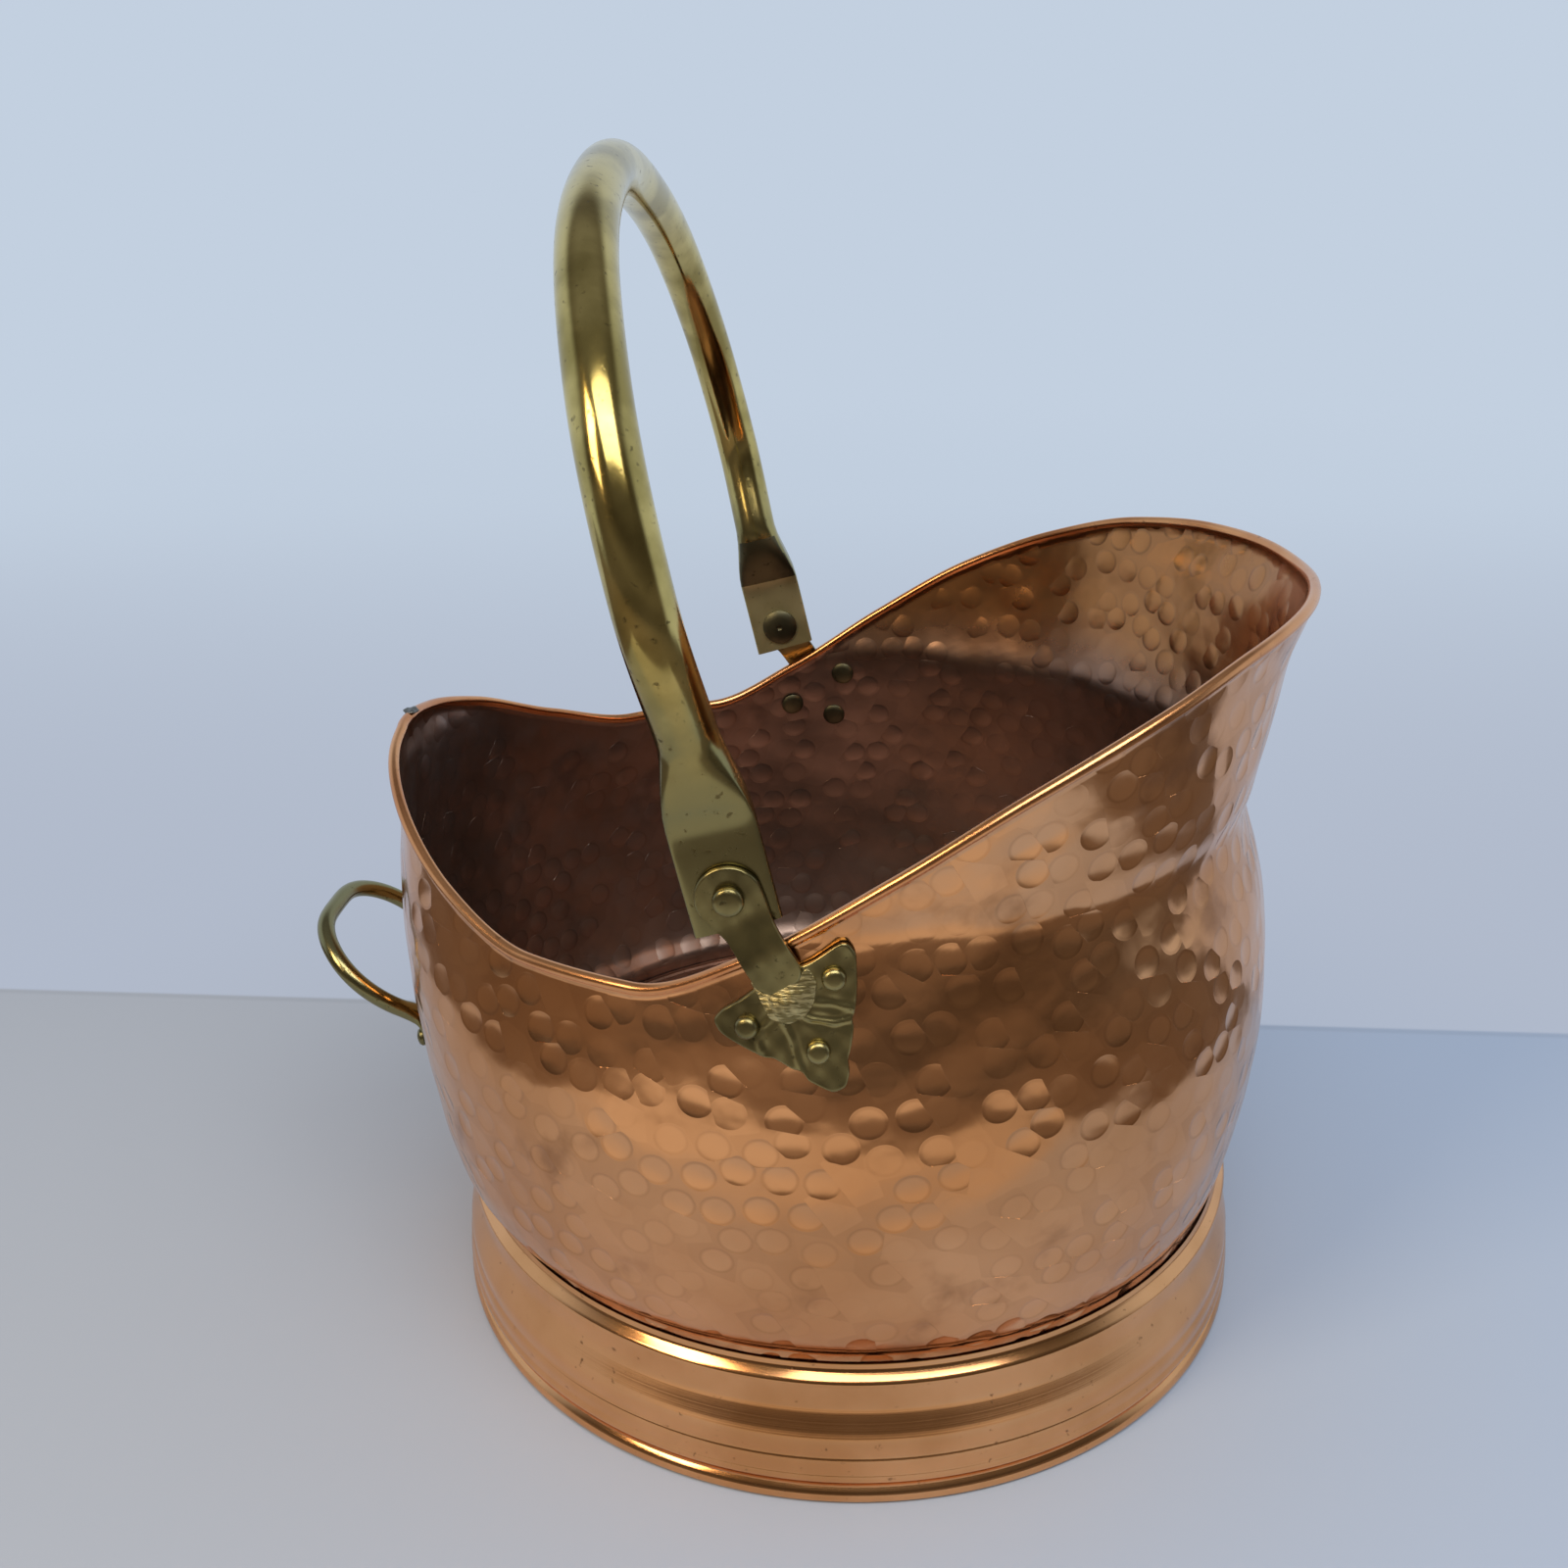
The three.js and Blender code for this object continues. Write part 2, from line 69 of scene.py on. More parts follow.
MM = 0.001
RAD = math.pi / 180
FOOT_LOW, FOOT_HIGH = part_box("foot_ring")
AXIS_X = (FOOT_LOW.x + FOOT_HIGH.x) / 2 / MM  # the foot's centre line, in mm
Array = np.ndarray


class Body(Enum):
    """The two bodies that pieces ride on."""

    SCUTTLE = "scuttle"
    BAIL = "bail"


class Slot(Enum):
    """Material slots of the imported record."""

    HAMMERED = "copper_hammered"
    SPUN = "copper_plain"
    POLISHED = "brass_polished"
    SATIN = "brass_satin"


# ---------------------------------------------------------------- shape of the wall


class Curve:
    """A smooth curve through a table that never overshoots it."""

    def __init__(self, xs: Sequence[float], ys: Sequence[float]) -> None:
        """Works out the slope at each entry.

        Args:
            xs: Rising positions.
            ys: Values at them.
        """
        self.xs, self.ys = np.array(xs, float), np.array(ys, float)
        step = np.diff(self.ys) / np.diff(self.xs)
        self.slopes = np.zeros(len(xs))
        for i in range(1, len(xs) - 1):
            a, b = step[i - 1], step[i]
            self.slopes[i] = 0.0 if a * b <= 0 else 2 * a * b / (a + b)

    def __call__(self, x: Array) -> Array:
        """Returns the values at x, an array or a number."""
        i = np.clip(np.searchsorted(self.xs, x, side="right") - 1, 0, len(self.xs) - 2)
        h = self.xs[i + 1] - self.xs[i]
        t = np.clip((x - self.xs[i]) / h, 0, 1)
        s = 1 - t
        low = self.ys[i] * (1 + 2 * t) + h * self.slopes[i] * t
        high = self.ys[i + 1] * (3 - 2 * t) - h * self.slopes[i + 1] * s
        return low * s * s + high * t * t


def smooth(a: float, b: float, x: Array) -> Array:
    """Returns 0 below a, 1 above b and an eased step between."""
    t = np.clip((x - a) / (b - a), 0, 1)
    return t * t * (3 - 2 * t)


@dataclass
class WallForm:
    """The bucket wall's form, in mm: the CAD source's, with its sides up to 1.6 mm off above z 135."""

    sections: tuple = (  # height, then the outside radius in front, at the sides and at the back
        (49, 133, 133, 133), (54, 134.4, 136.4, 139.2), (62, 136.3, 139.2, 142.6),
        (75, 138.8, 142, 145.3), (90, 140.9, 143.8, 147.4), (105, 141.9, 144.4, 149.4),
        (120, 142.1, 143.8, 151), (135, 141.3, 142, 151.8), (150, 139.1, 139.1, 151.7),
        (163, 135.8, 136.1, 151), (174, 132, 133.7, 150.4), (183, 129.8, 132.6, 150.4),
        (192, 132, 134.3, 151.4), (205, 134.4, 136.8, 150.8), (220, 137.1, 139.2, 150.2),
        (235, 139.8, 141.2, 150), (252, 145, 143, 150),
    )
    rim: tuple = (  # degrees from the lip, then the rim's height and outside radius
        (0, 251, 144.2), (12, 251.6, 143.9), (25, 250.9, 143.2), (40, 247.1, 141.6), (55, 237.1, 140.6),
        (70, 221.6, 138.6), (85, 199.9, 136.2), (100, 177.6, 134.9), (115, 163.2, 136.3),
        (130, 163, 139.4), (145, 173, 144), (160, 188, 148.4), (172, 196, 150), (180, 198.6, 149.6),
    )
    blend: float = 50.0  # how far below the rim the wall starts to run out to it

    def __post_init__(self) -> None:
        """Makes the curves."""
        heights, *radii = zip(*self.sections)
        self.front_at, self.side_at, self.back_at = (Curve(heights, each) for each in radii)
        angles, *rises = zip(*self.rim)
        self.rim_z, self.rim_r = (Curve(angles, each) for each in rises)

    def plain(self, theta: Array, z: Array) -> Array:
        """Returns the outside radius before the wall runs out to its rim."""
        c = np.cos(theta)
        ends = np.where(c > 0, self.front_at(z), self.back_at(z))
        return self.side_at(z) * (1 - c * c) + ends * c * c

    def angle(self, theta: Array) -> Array:
        """Returns the angle from the lip in degrees, 0 to 180."""
        return np.abs(np.arctan2(np.sin(theta), np.cos(theta))) / RAD

    def radius(self, theta: Array, z: Array) -> Array:
        """Returns the outside radius at an angle and a height."""
        a = self.angle(theta)
        top = self.rim_z(a)
        t = np.clip((z - top + self.blend) / self.blend, 0, 1)
        pull = t * t * (3 - 2 * t)
        return self.plain(theta, z) + pull * (self.rim_r(a) - self.plain(theta, top))

    def radius_at(self, theta: float, z: float) -> float:
        """Returns the outside radius at one angle and height."""
        return float(self.radius(np.array(theta), np.array(z)))

    def point(self, theta: float, z: float, out: float = 0.0) -> Vector:
        """Returns a point of the wall in mm, about the foot's centre line."""
        r = self.radius_at(theta, z) + out
        return Vector((r * math.cos(theta), r * math.sin(theta), z))

    def theta_at(self, x: float, z: float) -> float:
        """Returns the angle of the wall point with this x on the +y side."""
        theta = math.pi / 2
        for _ in range(12):
            theta = math.acos(x / self.radius_at(theta, z))
        return theta

    def normal(self, theta: float, z: float) -> Vector:
        """Returns the wall's outward normal."""
        a = self.point(theta + 0.01, z) - self.point(theta - 0.01, z)
        b = self.point(theta, z + 1) - self.point(theta, z - 1)
        return a.cross(b).normalized()


WALL = WallForm()
SHEET = 1.2  # thickness of the copper, in mm
SEAT = 0.3  # gap between two pieces that touch, in mm
END_ROWS = 3  # rows of a rod's skin that close each end
SHEET_MERGE, TURNED_MERGE = 2e-6, 5e-6  # metres below which doubled vertices are joined


# ---------------------------------------------------------------- bench: how pieces are made


def take(piece: Optional[bpy.types.Object] = None) -> None:
    """Leaves edit mode and selects this piece alone, or nothing."""
    if bpy.context.object and bpy.context.object.mode != "OBJECT":
        bpy.ops.object.mode_set(mode="OBJECT")
    bpy.ops.object.select_all(action="DESELECT")
    if piece:
        piece.select_set(True)
        bpy.context.view_layer.objects.active = piece


def in_scene(name: str, data: Any) -> bpy.types.Object:
    """Returns a new object of the scene that holds this mesh, camera or lamp."""
    made = bpy.data.objects.new(name, data)
    bpy.context.scene.collection.objects.link(made)
    return made


def settle(piece: bpy.types.Object, points: Array) -> None:
    """Moves a piece's vertices to points given in mm about the foot's centre line."""
    placed = (points + np.array([AXIS_X, 0, 0])) * MM
    piece.data.vertices.foreach_set("co", placed.astype(np.float32).ravel())
    piece.data.update()


def clean(piece: bpy.types.Object, merge: float) -> None:
    """Joins vertices nearer than merge, in metres, and turns the faces outwards."""
    take(piece)
    bpy.ops.object.mode_set(mode="EDIT")
    bpy.ops.mesh.select_all(action="SELECT")
    bpy.ops.mesh.remove_doubles(threshold=merge)
    bpy.ops.mesh.normals_make_consistent(inside=False)
    bpy.ops.object.mode_set(mode="OBJECT")


def soften(piece: bpy.types.Object, angle: float) -> None:
    """Smooths the shading below an edge angle, in degrees."""
    take(piece)
    bpy.ops.object.shade_smooth_by_angle(angle=angle * RAD)


def run_along(points: Array) -> Array:
    """Returns how far each point of a line is from its first point, along the line."""
    return np.concatenate([[0], np.cumsum(np.linalg.norm(np.diff(points, axis=0), axis=1))])


def spaced(points: Array, count: int) -> Array:
    """Returns count + 1 points spread evenly along a line."""
    run = run_along(points)
    even = np.linspace(0, run[-1], count + 1)
    return np.stack([np.interp(even, run, column) for column in points.T], 1)


def squarish(wave: Array, power: Array) -> Array:
    """Returns a cosine or sine that draws a rounded square: power 2 gives a circle."""
    return np.sign(wave) * np.abs(wave) ** (2 / power)


def closed_rows(w: Array, last: int, shoulder: float) -> tuple:
    """Finds the place of each row of a rod's skin, three of which close each end.

    Args:
        w: Positions along the sheet that becomes the skin, from 0 to 1.
        last: The last station of the rod's middle line.
        shoulder: Size of the first closing row, as a share of the rod's.

    Returns:
        The station of each position, and the size there as a share.
    """
    n = np.round(w * (last + 2 * END_ROWS)) - END_ROWS
    over = np.maximum(-n, n - last)
    size = np.select([over > 2, over > 1, over > 0], [0.0, 0.6, shoulder], 1.0)
    return np.clip(n, 0, last).astype(int), size


def formed_sheet(
    name: str, columns: int, rows: int, form: Callable[[Array, Array], Array],
    pattern: Optional[Callable[[Array, Array], Array]] = None,
) -> bpy.types.Object:
    """Rolls a flat sheet of faces into a closed form, as sheet metal is rolled up.

    Args:
        name: The piece's name.
        columns: Faces along the sheet.
        rows: Faces across it.
        form: Gives points in mm for positions u and w from 0 to 1.
        pattern: Gives the UV map in metres for the same positions.

    Returns:
        The piece, with doubled vertices joined and normals outwards.
    """
    take()
    bpy.ops.mesh.primitive_grid_add(x_subdivisions=columns, y_subdivisions=rows, size=2)
    piece = bpy.context.object
    piece.name = piece.data.name = name
    flat = np.zeros(len(piece.data.vertices) * 3, np.float32)
    piece.data.vertices.foreach_get("co", flat)
    flat = flat.reshape(-1, 3)
    u, w = (flat[:, 0] + 1) / 2, (flat[:, 1] + 1) / 2
    if pattern is not None:
        corners = np.zeros(len(piece.data.loops), np.int32)
        piece.data.loops.foreach_get("vertex_index", corners)
        piece.data.uv_layers.active.data.foreach_set(
            "uv", pattern(u[corners], w[corners]).astype(np.float32).ravel()
        )
    settle(piece, form(u.astype(float), w.astype(float)))
    clean(piece, SHEET_MERGE)
    return piece


def turned(
    name: str, profile: Sequence[tuple], centre: Vector, axis: Vector, steps: int
) -> bpy.types.Object:
    """Turns a profile about an axis, as on a lathe.

    Args:
        name: The piece's name.
        profile: Radius and height along the axis, in mm.
        centre: The point of height 0 in mm about the foot's centre line.
        axis: The direction of rising height.
        steps: Segments of the whole turn.

    Returns:
        The turned piece.
    """
    mesh = bpy.data.meshes.new(name)
    mesh.from_pydata(
        [(max(r, 0.0) * MM, 0, h * MM) for r, h in profile],
        [(i, i + 1) for i in range(len(profile) - 1)], [],
    )
    piece = in_scene(name, mesh)
    take(piece)
    bpy.ops.object.mode_set(mode="EDIT")
    bpy.ops.mesh.select_all(action="SELECT")
    bpy.ops.mesh.spin(steps=steps, angle=2 * math.pi, center=(0, 0, 0), axis=(0, 0, 1))
    bpy.ops.object.mode_set(mode="OBJECT")
    turn = Vector((0, 0, 1)).rotation_difference(axis.normalized()).to_matrix().to_4x4()
    place = Matrix.Translation((centre + Vector((AXIS_X, 0, 0))) * MM) @ turn
    piece.data.transform(place)
    clean(piece, TURNED_MERGE)
    soften(piece, 35)
    return piece


def mirrored(piece: bpy.types.Object, name: str) -> bpy.types.Object:
    """Returns a copy with its own mesh on the other side of the middle."""
    other = piece.copy()
    other.data = piece.data.copy()
    other.name = other.data.name = name
    bpy.context.scene.collection.objects.link(other)
    other.data.transform(Matrix.Diagonal((1, -1, 1, 1)))
    other.data.flip_normals()
    return other


def hand_over(
    piece: bpy.types.Object, body: Body, finish: bpy.types.Material,
    stands_for: Sequence[str] = (),
) -> None:
    """Gives a piece its finish and body, and hides the nodes it stands for."""
    if not piece.data.materials:
        piece.data.materials.append(finish)
    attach(piece, body.value)
    if stands_for:
        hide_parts(*stands_for)
    log.info("%s: %d faces on %s", piece.name, len(piece.data.polygons), body.value)


# ---------------------------------------------------------------- finishes

SHARE, FROM, TO = 0, 6, 7  # the inputs of a Mix node that blends two colours
COLOURS = {"data_type": "RGBA"}
EASED = {"interpolation_type": "SMOOTHSTEP"}  # a MapRange node takes input 0 from 1..2 to 3..4


def linear(code: str) -> tuple:
    """Returns the linear colour, with alpha 1, of an sRGB hex code."""
    parts = [int(code[i : i + 2], 16) / 255 for i in (1, 3, 5)]
    return (*[p / 12.92 if p <= 0.04045 else ((p + 0.055) / 1.055) ** 2.4 for p in parts], 1.0)


def wire(tree: bpy.types.NodeTree, node: bpy.types.Node, inputs: dict) -> None:
    """Sets or links the inputs of a node.

    Args:
        tree: The node tree.
        node: The node that reads them.
        inputs: By an input's name or number, its value, a colour's hex code, an output to link, or a
            node to link by its first output in use.
    """
    for key, value in inputs.items():
        if isinstance(value, bpy.types.Node):
            value = next(output for output in value.outputs if output.enabled)
        if isinstance(value, bpy.types.NodeSocket):
            tree.links.new(value, node.inputs[key])
        else:
            node.inputs[key].default_value = linear(value) if isinstance(value, str) else value


def add_node(tree: bpy.types.NodeTree, kind: str, inputs: dict, **settings: Any) -> bpy.types.Node:
    """Adds a node with its settings and links.

    Args:
        tree: The node tree.
        kind: The node's type name after "ShaderNode".
        inputs: Its inputs, as wire reads them.
        settings: The node's own attributes.

    Returns:
        The node.
    """
    made = tree.nodes.new(f"ShaderNode{kind}")
    for name, value in settings.items():
        setattr(made, name, value)
    wire(tree, made, inputs)
    return made


def blank(name: str, metallic: float) -> tuple:
    """Returns a new material, its tree, its shader and its Object coordinates."""
    made = bpy.data.materials.new(name)
    made.use_nodes = True
    tree = made.node_tree
    shader = tree.nodes["Principled BSDF"]
    shader.inputs["Metallic"].default_value = metallic
    return made, tree, shader, add_node(tree, "TexCoord", {}).outputs["Object"]


def clouds(place: Any, size_mm: float, detail: float) -> dict:
    """Returns a noise node's inputs for blots about size_mm across."""
    return {"Vector": place, "Scale": 1 / (size_mm * MM), "Detail": detail}


def patches(tree: bpy.types.NodeTree, blots: dict, edge: tuple, share: tuple = (0.0, 1.0)) -> bpy.types.Node:
    """Turns soft noise into patches of stain, wear or pitting.

    Args:
        tree: The node tree.
        blots: The noise, as clouds gives it.
        edge: The noise values between which a patch begins.
        share: The shares outside the patches and in them.

    Returns:
        The node that gives the share.
    """
    noise = add_node(tree, "TexNoise", blots)
    return add_node(tree, "MapRange", {0: noise, 1: edge[0], 2: edge[1], 3: share[0], 4: share[1]}, **EASED)


def by_height(tree: bpy.types.NodeTree, place: Any, blots: Any, heights: tuple) -> bpy.types.Node:
    """Returns a share that goes from 0 to 1 between two heights in mm, and wanders with blots."""
    wander = 0.02
    level = add_node(tree, "SeparateXYZ", {0: place}).outputs["Z"]
    level = add_node(tree, "Math", {0: blots, 1: wander, 2: level}, operation="MULTIPLY_ADD")
    return add_node(tree, "MapRange", {0: level, 1: heights[0] * MM, 2: heights[1] * MM}, **EASED)


@dataclass(frozen=True)
class HammeredCopper:
    """Copper sheet, planished with a round hammer and polished.

    To the eye it is a warm mirror broken into small round ones, each with its own spot of window
    light and a thin dark edge, partly tarnished and partly painted shade.
    """

    name: str
    bright: str
    deep: str
    # colour of the stains and of the dent rings, which are partly painted shade
    tarnish_and_shade: str
    roughness: float
    dent_mm: float = 11.5  # pitch of the hammer blows, measured against the rivets
    depth_mm: float = 0.36
    wave_mm: float = 0.35
    reach: float = 0.46  # half a dent's width, as a share of the pitch
    steepness: float = 4.73  # 1 / reach squared, so that a dent ends level with the sheet
    buffed_and_shaded_edge: float = 0.42  # where the ring of tarnished colour and painted shade lies, as a share of the pitch
    raised: bool = False  # on the inside of the sheet the dents stand out
    dust: str = ""
    polished: str = "#E3A873"
    polished_mm: tuple = ()  # heights between which a dull inside turns to polished

    def dents(self, tree: bpy.types.NodeTree, place: Any) -> tuple:
        """Returns the height of the hammer blows and the share of each dent's ring, tarnished and painted
        shade.

        The blows follow one another in rows, each row half a blow on from the last. So the flat sheet
        is slanted, the blows are laid out on it, and the run to each is measured upright again.
        """
        half_a_blow, pitch = 0.5, self.dent_mm * MM
        sheet = add_node(tree, "UVMap", {})
        rows = add_node(tree, "VectorMath", {0: sheet, 1: (1.0, 1.12, 1.0)}, operation="MULTIPLY")
        run, rise = add_node(tree, "SeparateXYZ", {0: rows}).outputs[:2]
        slid = add_node(tree, "Math", {0: rise, 1: half_a_blow, 2: run}, operation="MULTIPLY_ADD")
        laid = add_node(tree, "CombineXYZ", {0: slid, 1: rise})
        blows = add_node(
            tree, "TexVoronoi", {"Vector": laid, "Scale": 1 / pitch, "Randomness": 0.55},
            voronoi_dimensions="2D", feature="F1",
        )
        middle, tone = blows.outputs["Position"], blows.outputs["Color"]
        offset = add_node(tree, "VectorMath", {0: laid, 1: middle}, operation="SUBTRACT")
        run, rise = add_node(tree, "SeparateXYZ", {0: offset}).outputs[:2]
        upright = add_node(tree, "Math", {0: rise, 1: -half_a_blow, 2: run}, operation="MULTIPLY_ADD")
        straight = add_node(tree, "CombineXYZ", {0: upright, 1: rise})
        away = add_node(tree, "VectorMath", {0: straight}, operation="LENGTH")
        away = add_node(tree, "Math", {0: away, 1: 1 / pitch}, operation="MULTIPLY")
        away = add_node(tree, "Math", {0: away, 1: self.reach}, operation="MINIMUM")
        # some blows and some stretches of the sheet were struck lightly
        tone = add_node(tree, "SeparateColor", {0: tone})
        force = add_node(tree, "MapRange", {0: tone, 1: 0.05, 2: 0.75, 3: 0.12}, **EASED)
        struck = patches(tree, clouds(place, 70, 2), (0.3, 0.55), (0.5, 1.0))
        force = add_node(tree, "Math", {0: force, 1: struck}, operation="MULTIPLY")
        # a ring in the tarnished colour along the edge of each dent: partly left by buffing, partly painted
        # shade
        edge = add_node(tree, "Math", {0: away, 1: self.buffed_and_shaded_edge}, operation="SUBTRACT")
        edge = add_node(tree, "Math", {0: edge}, operation="ABSOLUTE")
        edge = add_node(tree, "MapRange", {0: edge, 2: 0.09, 3: 0.3, 4: 0.0}, **EASED)
        edge = add_node(tree, "Math", {0: edge, 1: force}, operation="MULTIPLY")
        height = add_node(tree, "Math", {0: away, 1: away}, operation="MULTIPLY")
        height = add_node(tree, "Math", {0: height, 1: self.steepness, 2: -1.0}, operation="MULTIPLY_ADD")
        height = add_node(tree, "Math", {0: height, 1: force}, operation="MULTIPLY")
        if self.raised:
            height = add_node(tree, "Math", {0: height, 1: -1.0}, operation="MULTIPLY")
        return height, edge

    def make(self) -> bpy.types.Material:
        """Returns the material."""
        made, tree, shader, place = blank(self.name, 1.0)
        blots = add_node(tree, "TexNoise", clouds(place, 60, 4))
        share = add_node(tree, "MapRange", {0: blots, 1: 0.35, 2: 0.7}, **EASED)
        colour = add_node(tree, "Mix", {SHARE: share, FROM: self.bright, TO: self.deep}, **COLOURS)
        stains = patches(tree, clouds(place, 25, 6), (0.55, 0.75), (0.0, 0.55))
        colour = add_node(tree, "Mix", {SHARE: stains, FROM: colour, TO: self.tarnish_and_shade}, **COLOURS)
        grain = add_node(tree, "TexNoise", clouds(place, 9, 5))
        rough = add_node(tree, "Math", {0: grain, 1: 0.1, 2: self.roughness}, operation="MULTIPLY_ADD")
        if self.dust:  # coal dust lies towards the back, where nothing is poured over it
            across = add_node(tree, "SeparateXYZ", {0: place})
            share = add_node(tree, "MapRange", {0: across, 1: -0.02, 2: -0.11}, **EASED)
            dusty = patches(tree, clouds(place, 18, 6), (0.4, 0.72), (0.0, 0.6))
            share = add_node(tree, "Math", {0: share, 1: dusty}, operation="MULTIPLY")
            colour = add_node(tree, "Mix", {SHARE: share, FROM: colour, TO: self.dust}, **COLOURS)
        if self.polished_mm:
            share = by_height(tree, place, blots, self.polished_mm)
            colour = add_node(tree, "Mix", {SHARE: share, FROM: colour, TO: self.polished}, **COLOURS)
            gloss = -self.roughness / 2
            rough = add_node(tree, "Math", {0: share, 1: gloss, 2: rough}, operation="MULTIPLY_ADD")
        rough = add_node(tree, "Math", {0: stains, 1: 0.18, 2: rough}, operation="MULTIPLY_ADD")
        height, edge = self.dents(tree, place)
        # the dent rings, partly tarnished and partly painted shade
        colour = add_node(tree, "Mix", {SHARE: edge, FROM: colour, TO: self.tarnish_and_shade}, **COLOURS)
        dented = add_node(tree, "Bump", {"Height": height, "Strength": 1.0, "Distance": self.depth_mm * MM})
        swell = add_node(tree, "TexNoise", clouds(place, 13, 1.5))
        waves = {"Height": swell, "Strength": 1.0, "Distance": self.wave_mm * MM, "Normal": dented}
        wavy = add_node(tree, "Bump", waves)
        wire(tree, shader, {"Base Color": colour, "Roughness": rough, "Normal": wavy})
        return made


@dataclass(frozen=True)
class SpunCopper:
    """Copper spun over a former on a lathe, then buffed.

    To the eye it is smoother than the hammered wall: long level streaks of light, fine turning lines
    and small dark specks in the hollows.
    """

    name: str
    bright: str
    deep: str
    roughness: float
    speck: str = "#5A3524"
    line_mm: float = 0.9  # spacing of the turning lines, drawn coarser than the real ones to show
    relief_mm: float = 0.025

    def make(self) -> bpy.types.Material:
        """Returns the material."""
        made, tree, shader, place = blank(self.name, 1.0)
        height = add_node(tree, "SeparateXYZ", {0: place}).outputs["Z"]
        turning = {"W": height, "Scale": 1 / (self.line_mm * MM), "Detail": 2.0}
        lines = add_node(tree, "TexNoise", turning, noise_dimensions="1D")
        share = patches(tree, clouds(place, 40, 5), (0.35, 0.7))
        colour = add_node(tree, "Mix", {SHARE: share, FROM: self.bright, TO: self.deep}, **COLOURS)
        specks = patches(tree, clouds(place, 3, 4), (0.66, 0.76), (0.0, 0.6))
        colour = add_node(tree, "Mix", {SHARE: specks, FROM: colour, TO: self.speck}, **COLOURS)
        rough = add_node(tree, "Math", {0: lines, 1: 0.08, 2: self.roughness}, operation="MULTIPLY_ADD")
        rough = add_node(tree, "Math", {0: specks, 1: 0.2, 2: rough}, operation="MULTIPLY_ADD")
        swell = add_node(tree, "TexNoise", clouds(place, 14, 3))
        height = add_node(tree, "Math", {0: swell, 1: 2.5, 2: lines}, operation="MULTIPLY_ADD")
        relief = add_node(tree, "Bump", {"Height": height, "Strength": 0.5, "Distance": self.relief_mm * MM})
        wire(tree, shader, {"Base Color": colour, "Roughness": rough, "Normal": relief})
        return made


@dataclass(frozen=True)
class HandledBrass:
    """Drawn or pressed brass, polished now and then and darkened by hands between.

    To the eye it is pale yellow where it is rubbed and olive where it isn't, with small dark pits and
    fine scratches that run up and down.
    """

    name: str
    bright: str
    olive: str
    dark: str
    roughness: float
    scratch_mm: float = 0.5
    relief_mm: float = 0.03
    satin: str = "#8C845C"
    satin_mm: tuple = ()  # heights between which the polish goes over to satin

    def make(self) -> bpy.types.Material:
        """Returns the material."""
        made, tree, shader, place = blank(self.name, 1.0)
        share = patches(tree, clouds(place, 22, 4), (0.36, 0.66))
        colour = add_node(tree, "Mix", {SHARE: share, FROM: self.bright, TO: self.olive}, **COLOURS)
        pits = patches(tree, clouds(place, 2.2, 5), (0.62, 0.74), (0.0, 0.7))
        rubs = add_node(tree, "TexNoise", clouds(place, 7, 6))
        rough = add_node(tree, "Math", {0: rubs, 1: 0.12, 2: self.roughness}, operation="MULTIPLY_ADD")
        if self.satin_mm:
            share = by_height(tree, place, rubs, self.satin_mm)
            colour = add_node(tree, "Mix", {SHARE: share, FROM: colour, TO: self.satin}, **COLOURS)
            rough = add_node(tree, "Math", {0: share, 1: 0.08, 2: rough}, operation="MULTIPLY_ADD")
        colour = add_node(tree, "Mix", {SHARE: pits, FROM: colour, TO: self.dark}, **COLOURS)
        rough = add_node(tree, "Math", {0: pits, 1: 0.2, 2: rough}, operation="MULTIPLY_ADD")
        upright = add_node(tree, "Mapping", {"Vector": place, "Scale": (1.0, 1.0, 0.08)})
        scratches = add_node(tree, "TexNoise", clouds(upright, self.scratch_mm, 2))
        height = add_node(tree, "Math", {0: scratches, 1: 0.35}, operation="MULTIPLY")
        height = add_node(tree, "Math", {0: height, 1: pits}, operation="SUBTRACT")
        relief = add_node(tree, "Bump", {"Height": height, "Strength": 0.6, "Distance": self.relief_mm * MM})
        wire(tree, shader, {"Base Color": colour, "Roughness": rough, "Normal": relief})
        return made


@dataclass(frozen=True)
class FiledBraze:
    """Braze metal dressed with a coarse file.

    To the eye it is paler and rougher than the plates it joins, with slanted file cuts. Real cuts are
    about 0.5 mm apart, and these are drawn at 0.8 mm to show.
    """

    name: str = "filed_braze_metal"
    pale: str = "#C9BC8C"
    dark: str = "#857A52"
    cut_mm: float = 0.8
    relief_mm: float = 0.35

    def make(self) -> bpy.types.Material:
        """Returns the material."""
        made, tree, shader, place = blank(self.name, 1.0)
        slanted = {"Vector": place, "Rotation": (0, 0.9, 0), "Scale": (0.15, 1.0, 1.0)}
        filed = add_node(tree, "Mapping", slanted)
        cuts = add_node(tree, "TexNoise", clouds(filed, self.cut_mm, 4))
        share = add_node(tree, "MapRange", {0: cuts, 1: 0.4, 2: 0.6}, **EASED)
        colour = add_node(tree, "Mix", {SHARE: share, FROM: self.pale, TO: self.dark}, **COLOURS)
        relief = add_node(tree, "Bump", {"Height": cuts, "Strength": 0.9, "Distance": self.relief_mm * MM})
        wire(tree, shader, {"Base Color": colour, "Roughness": 0.42, "Normal": relief})
        return made


def material_of(finish: Any) -> Any:
    """Returns a field for the material of a finish, which is made when the scuttle is built."""
    return field(default_factory=finish.make)


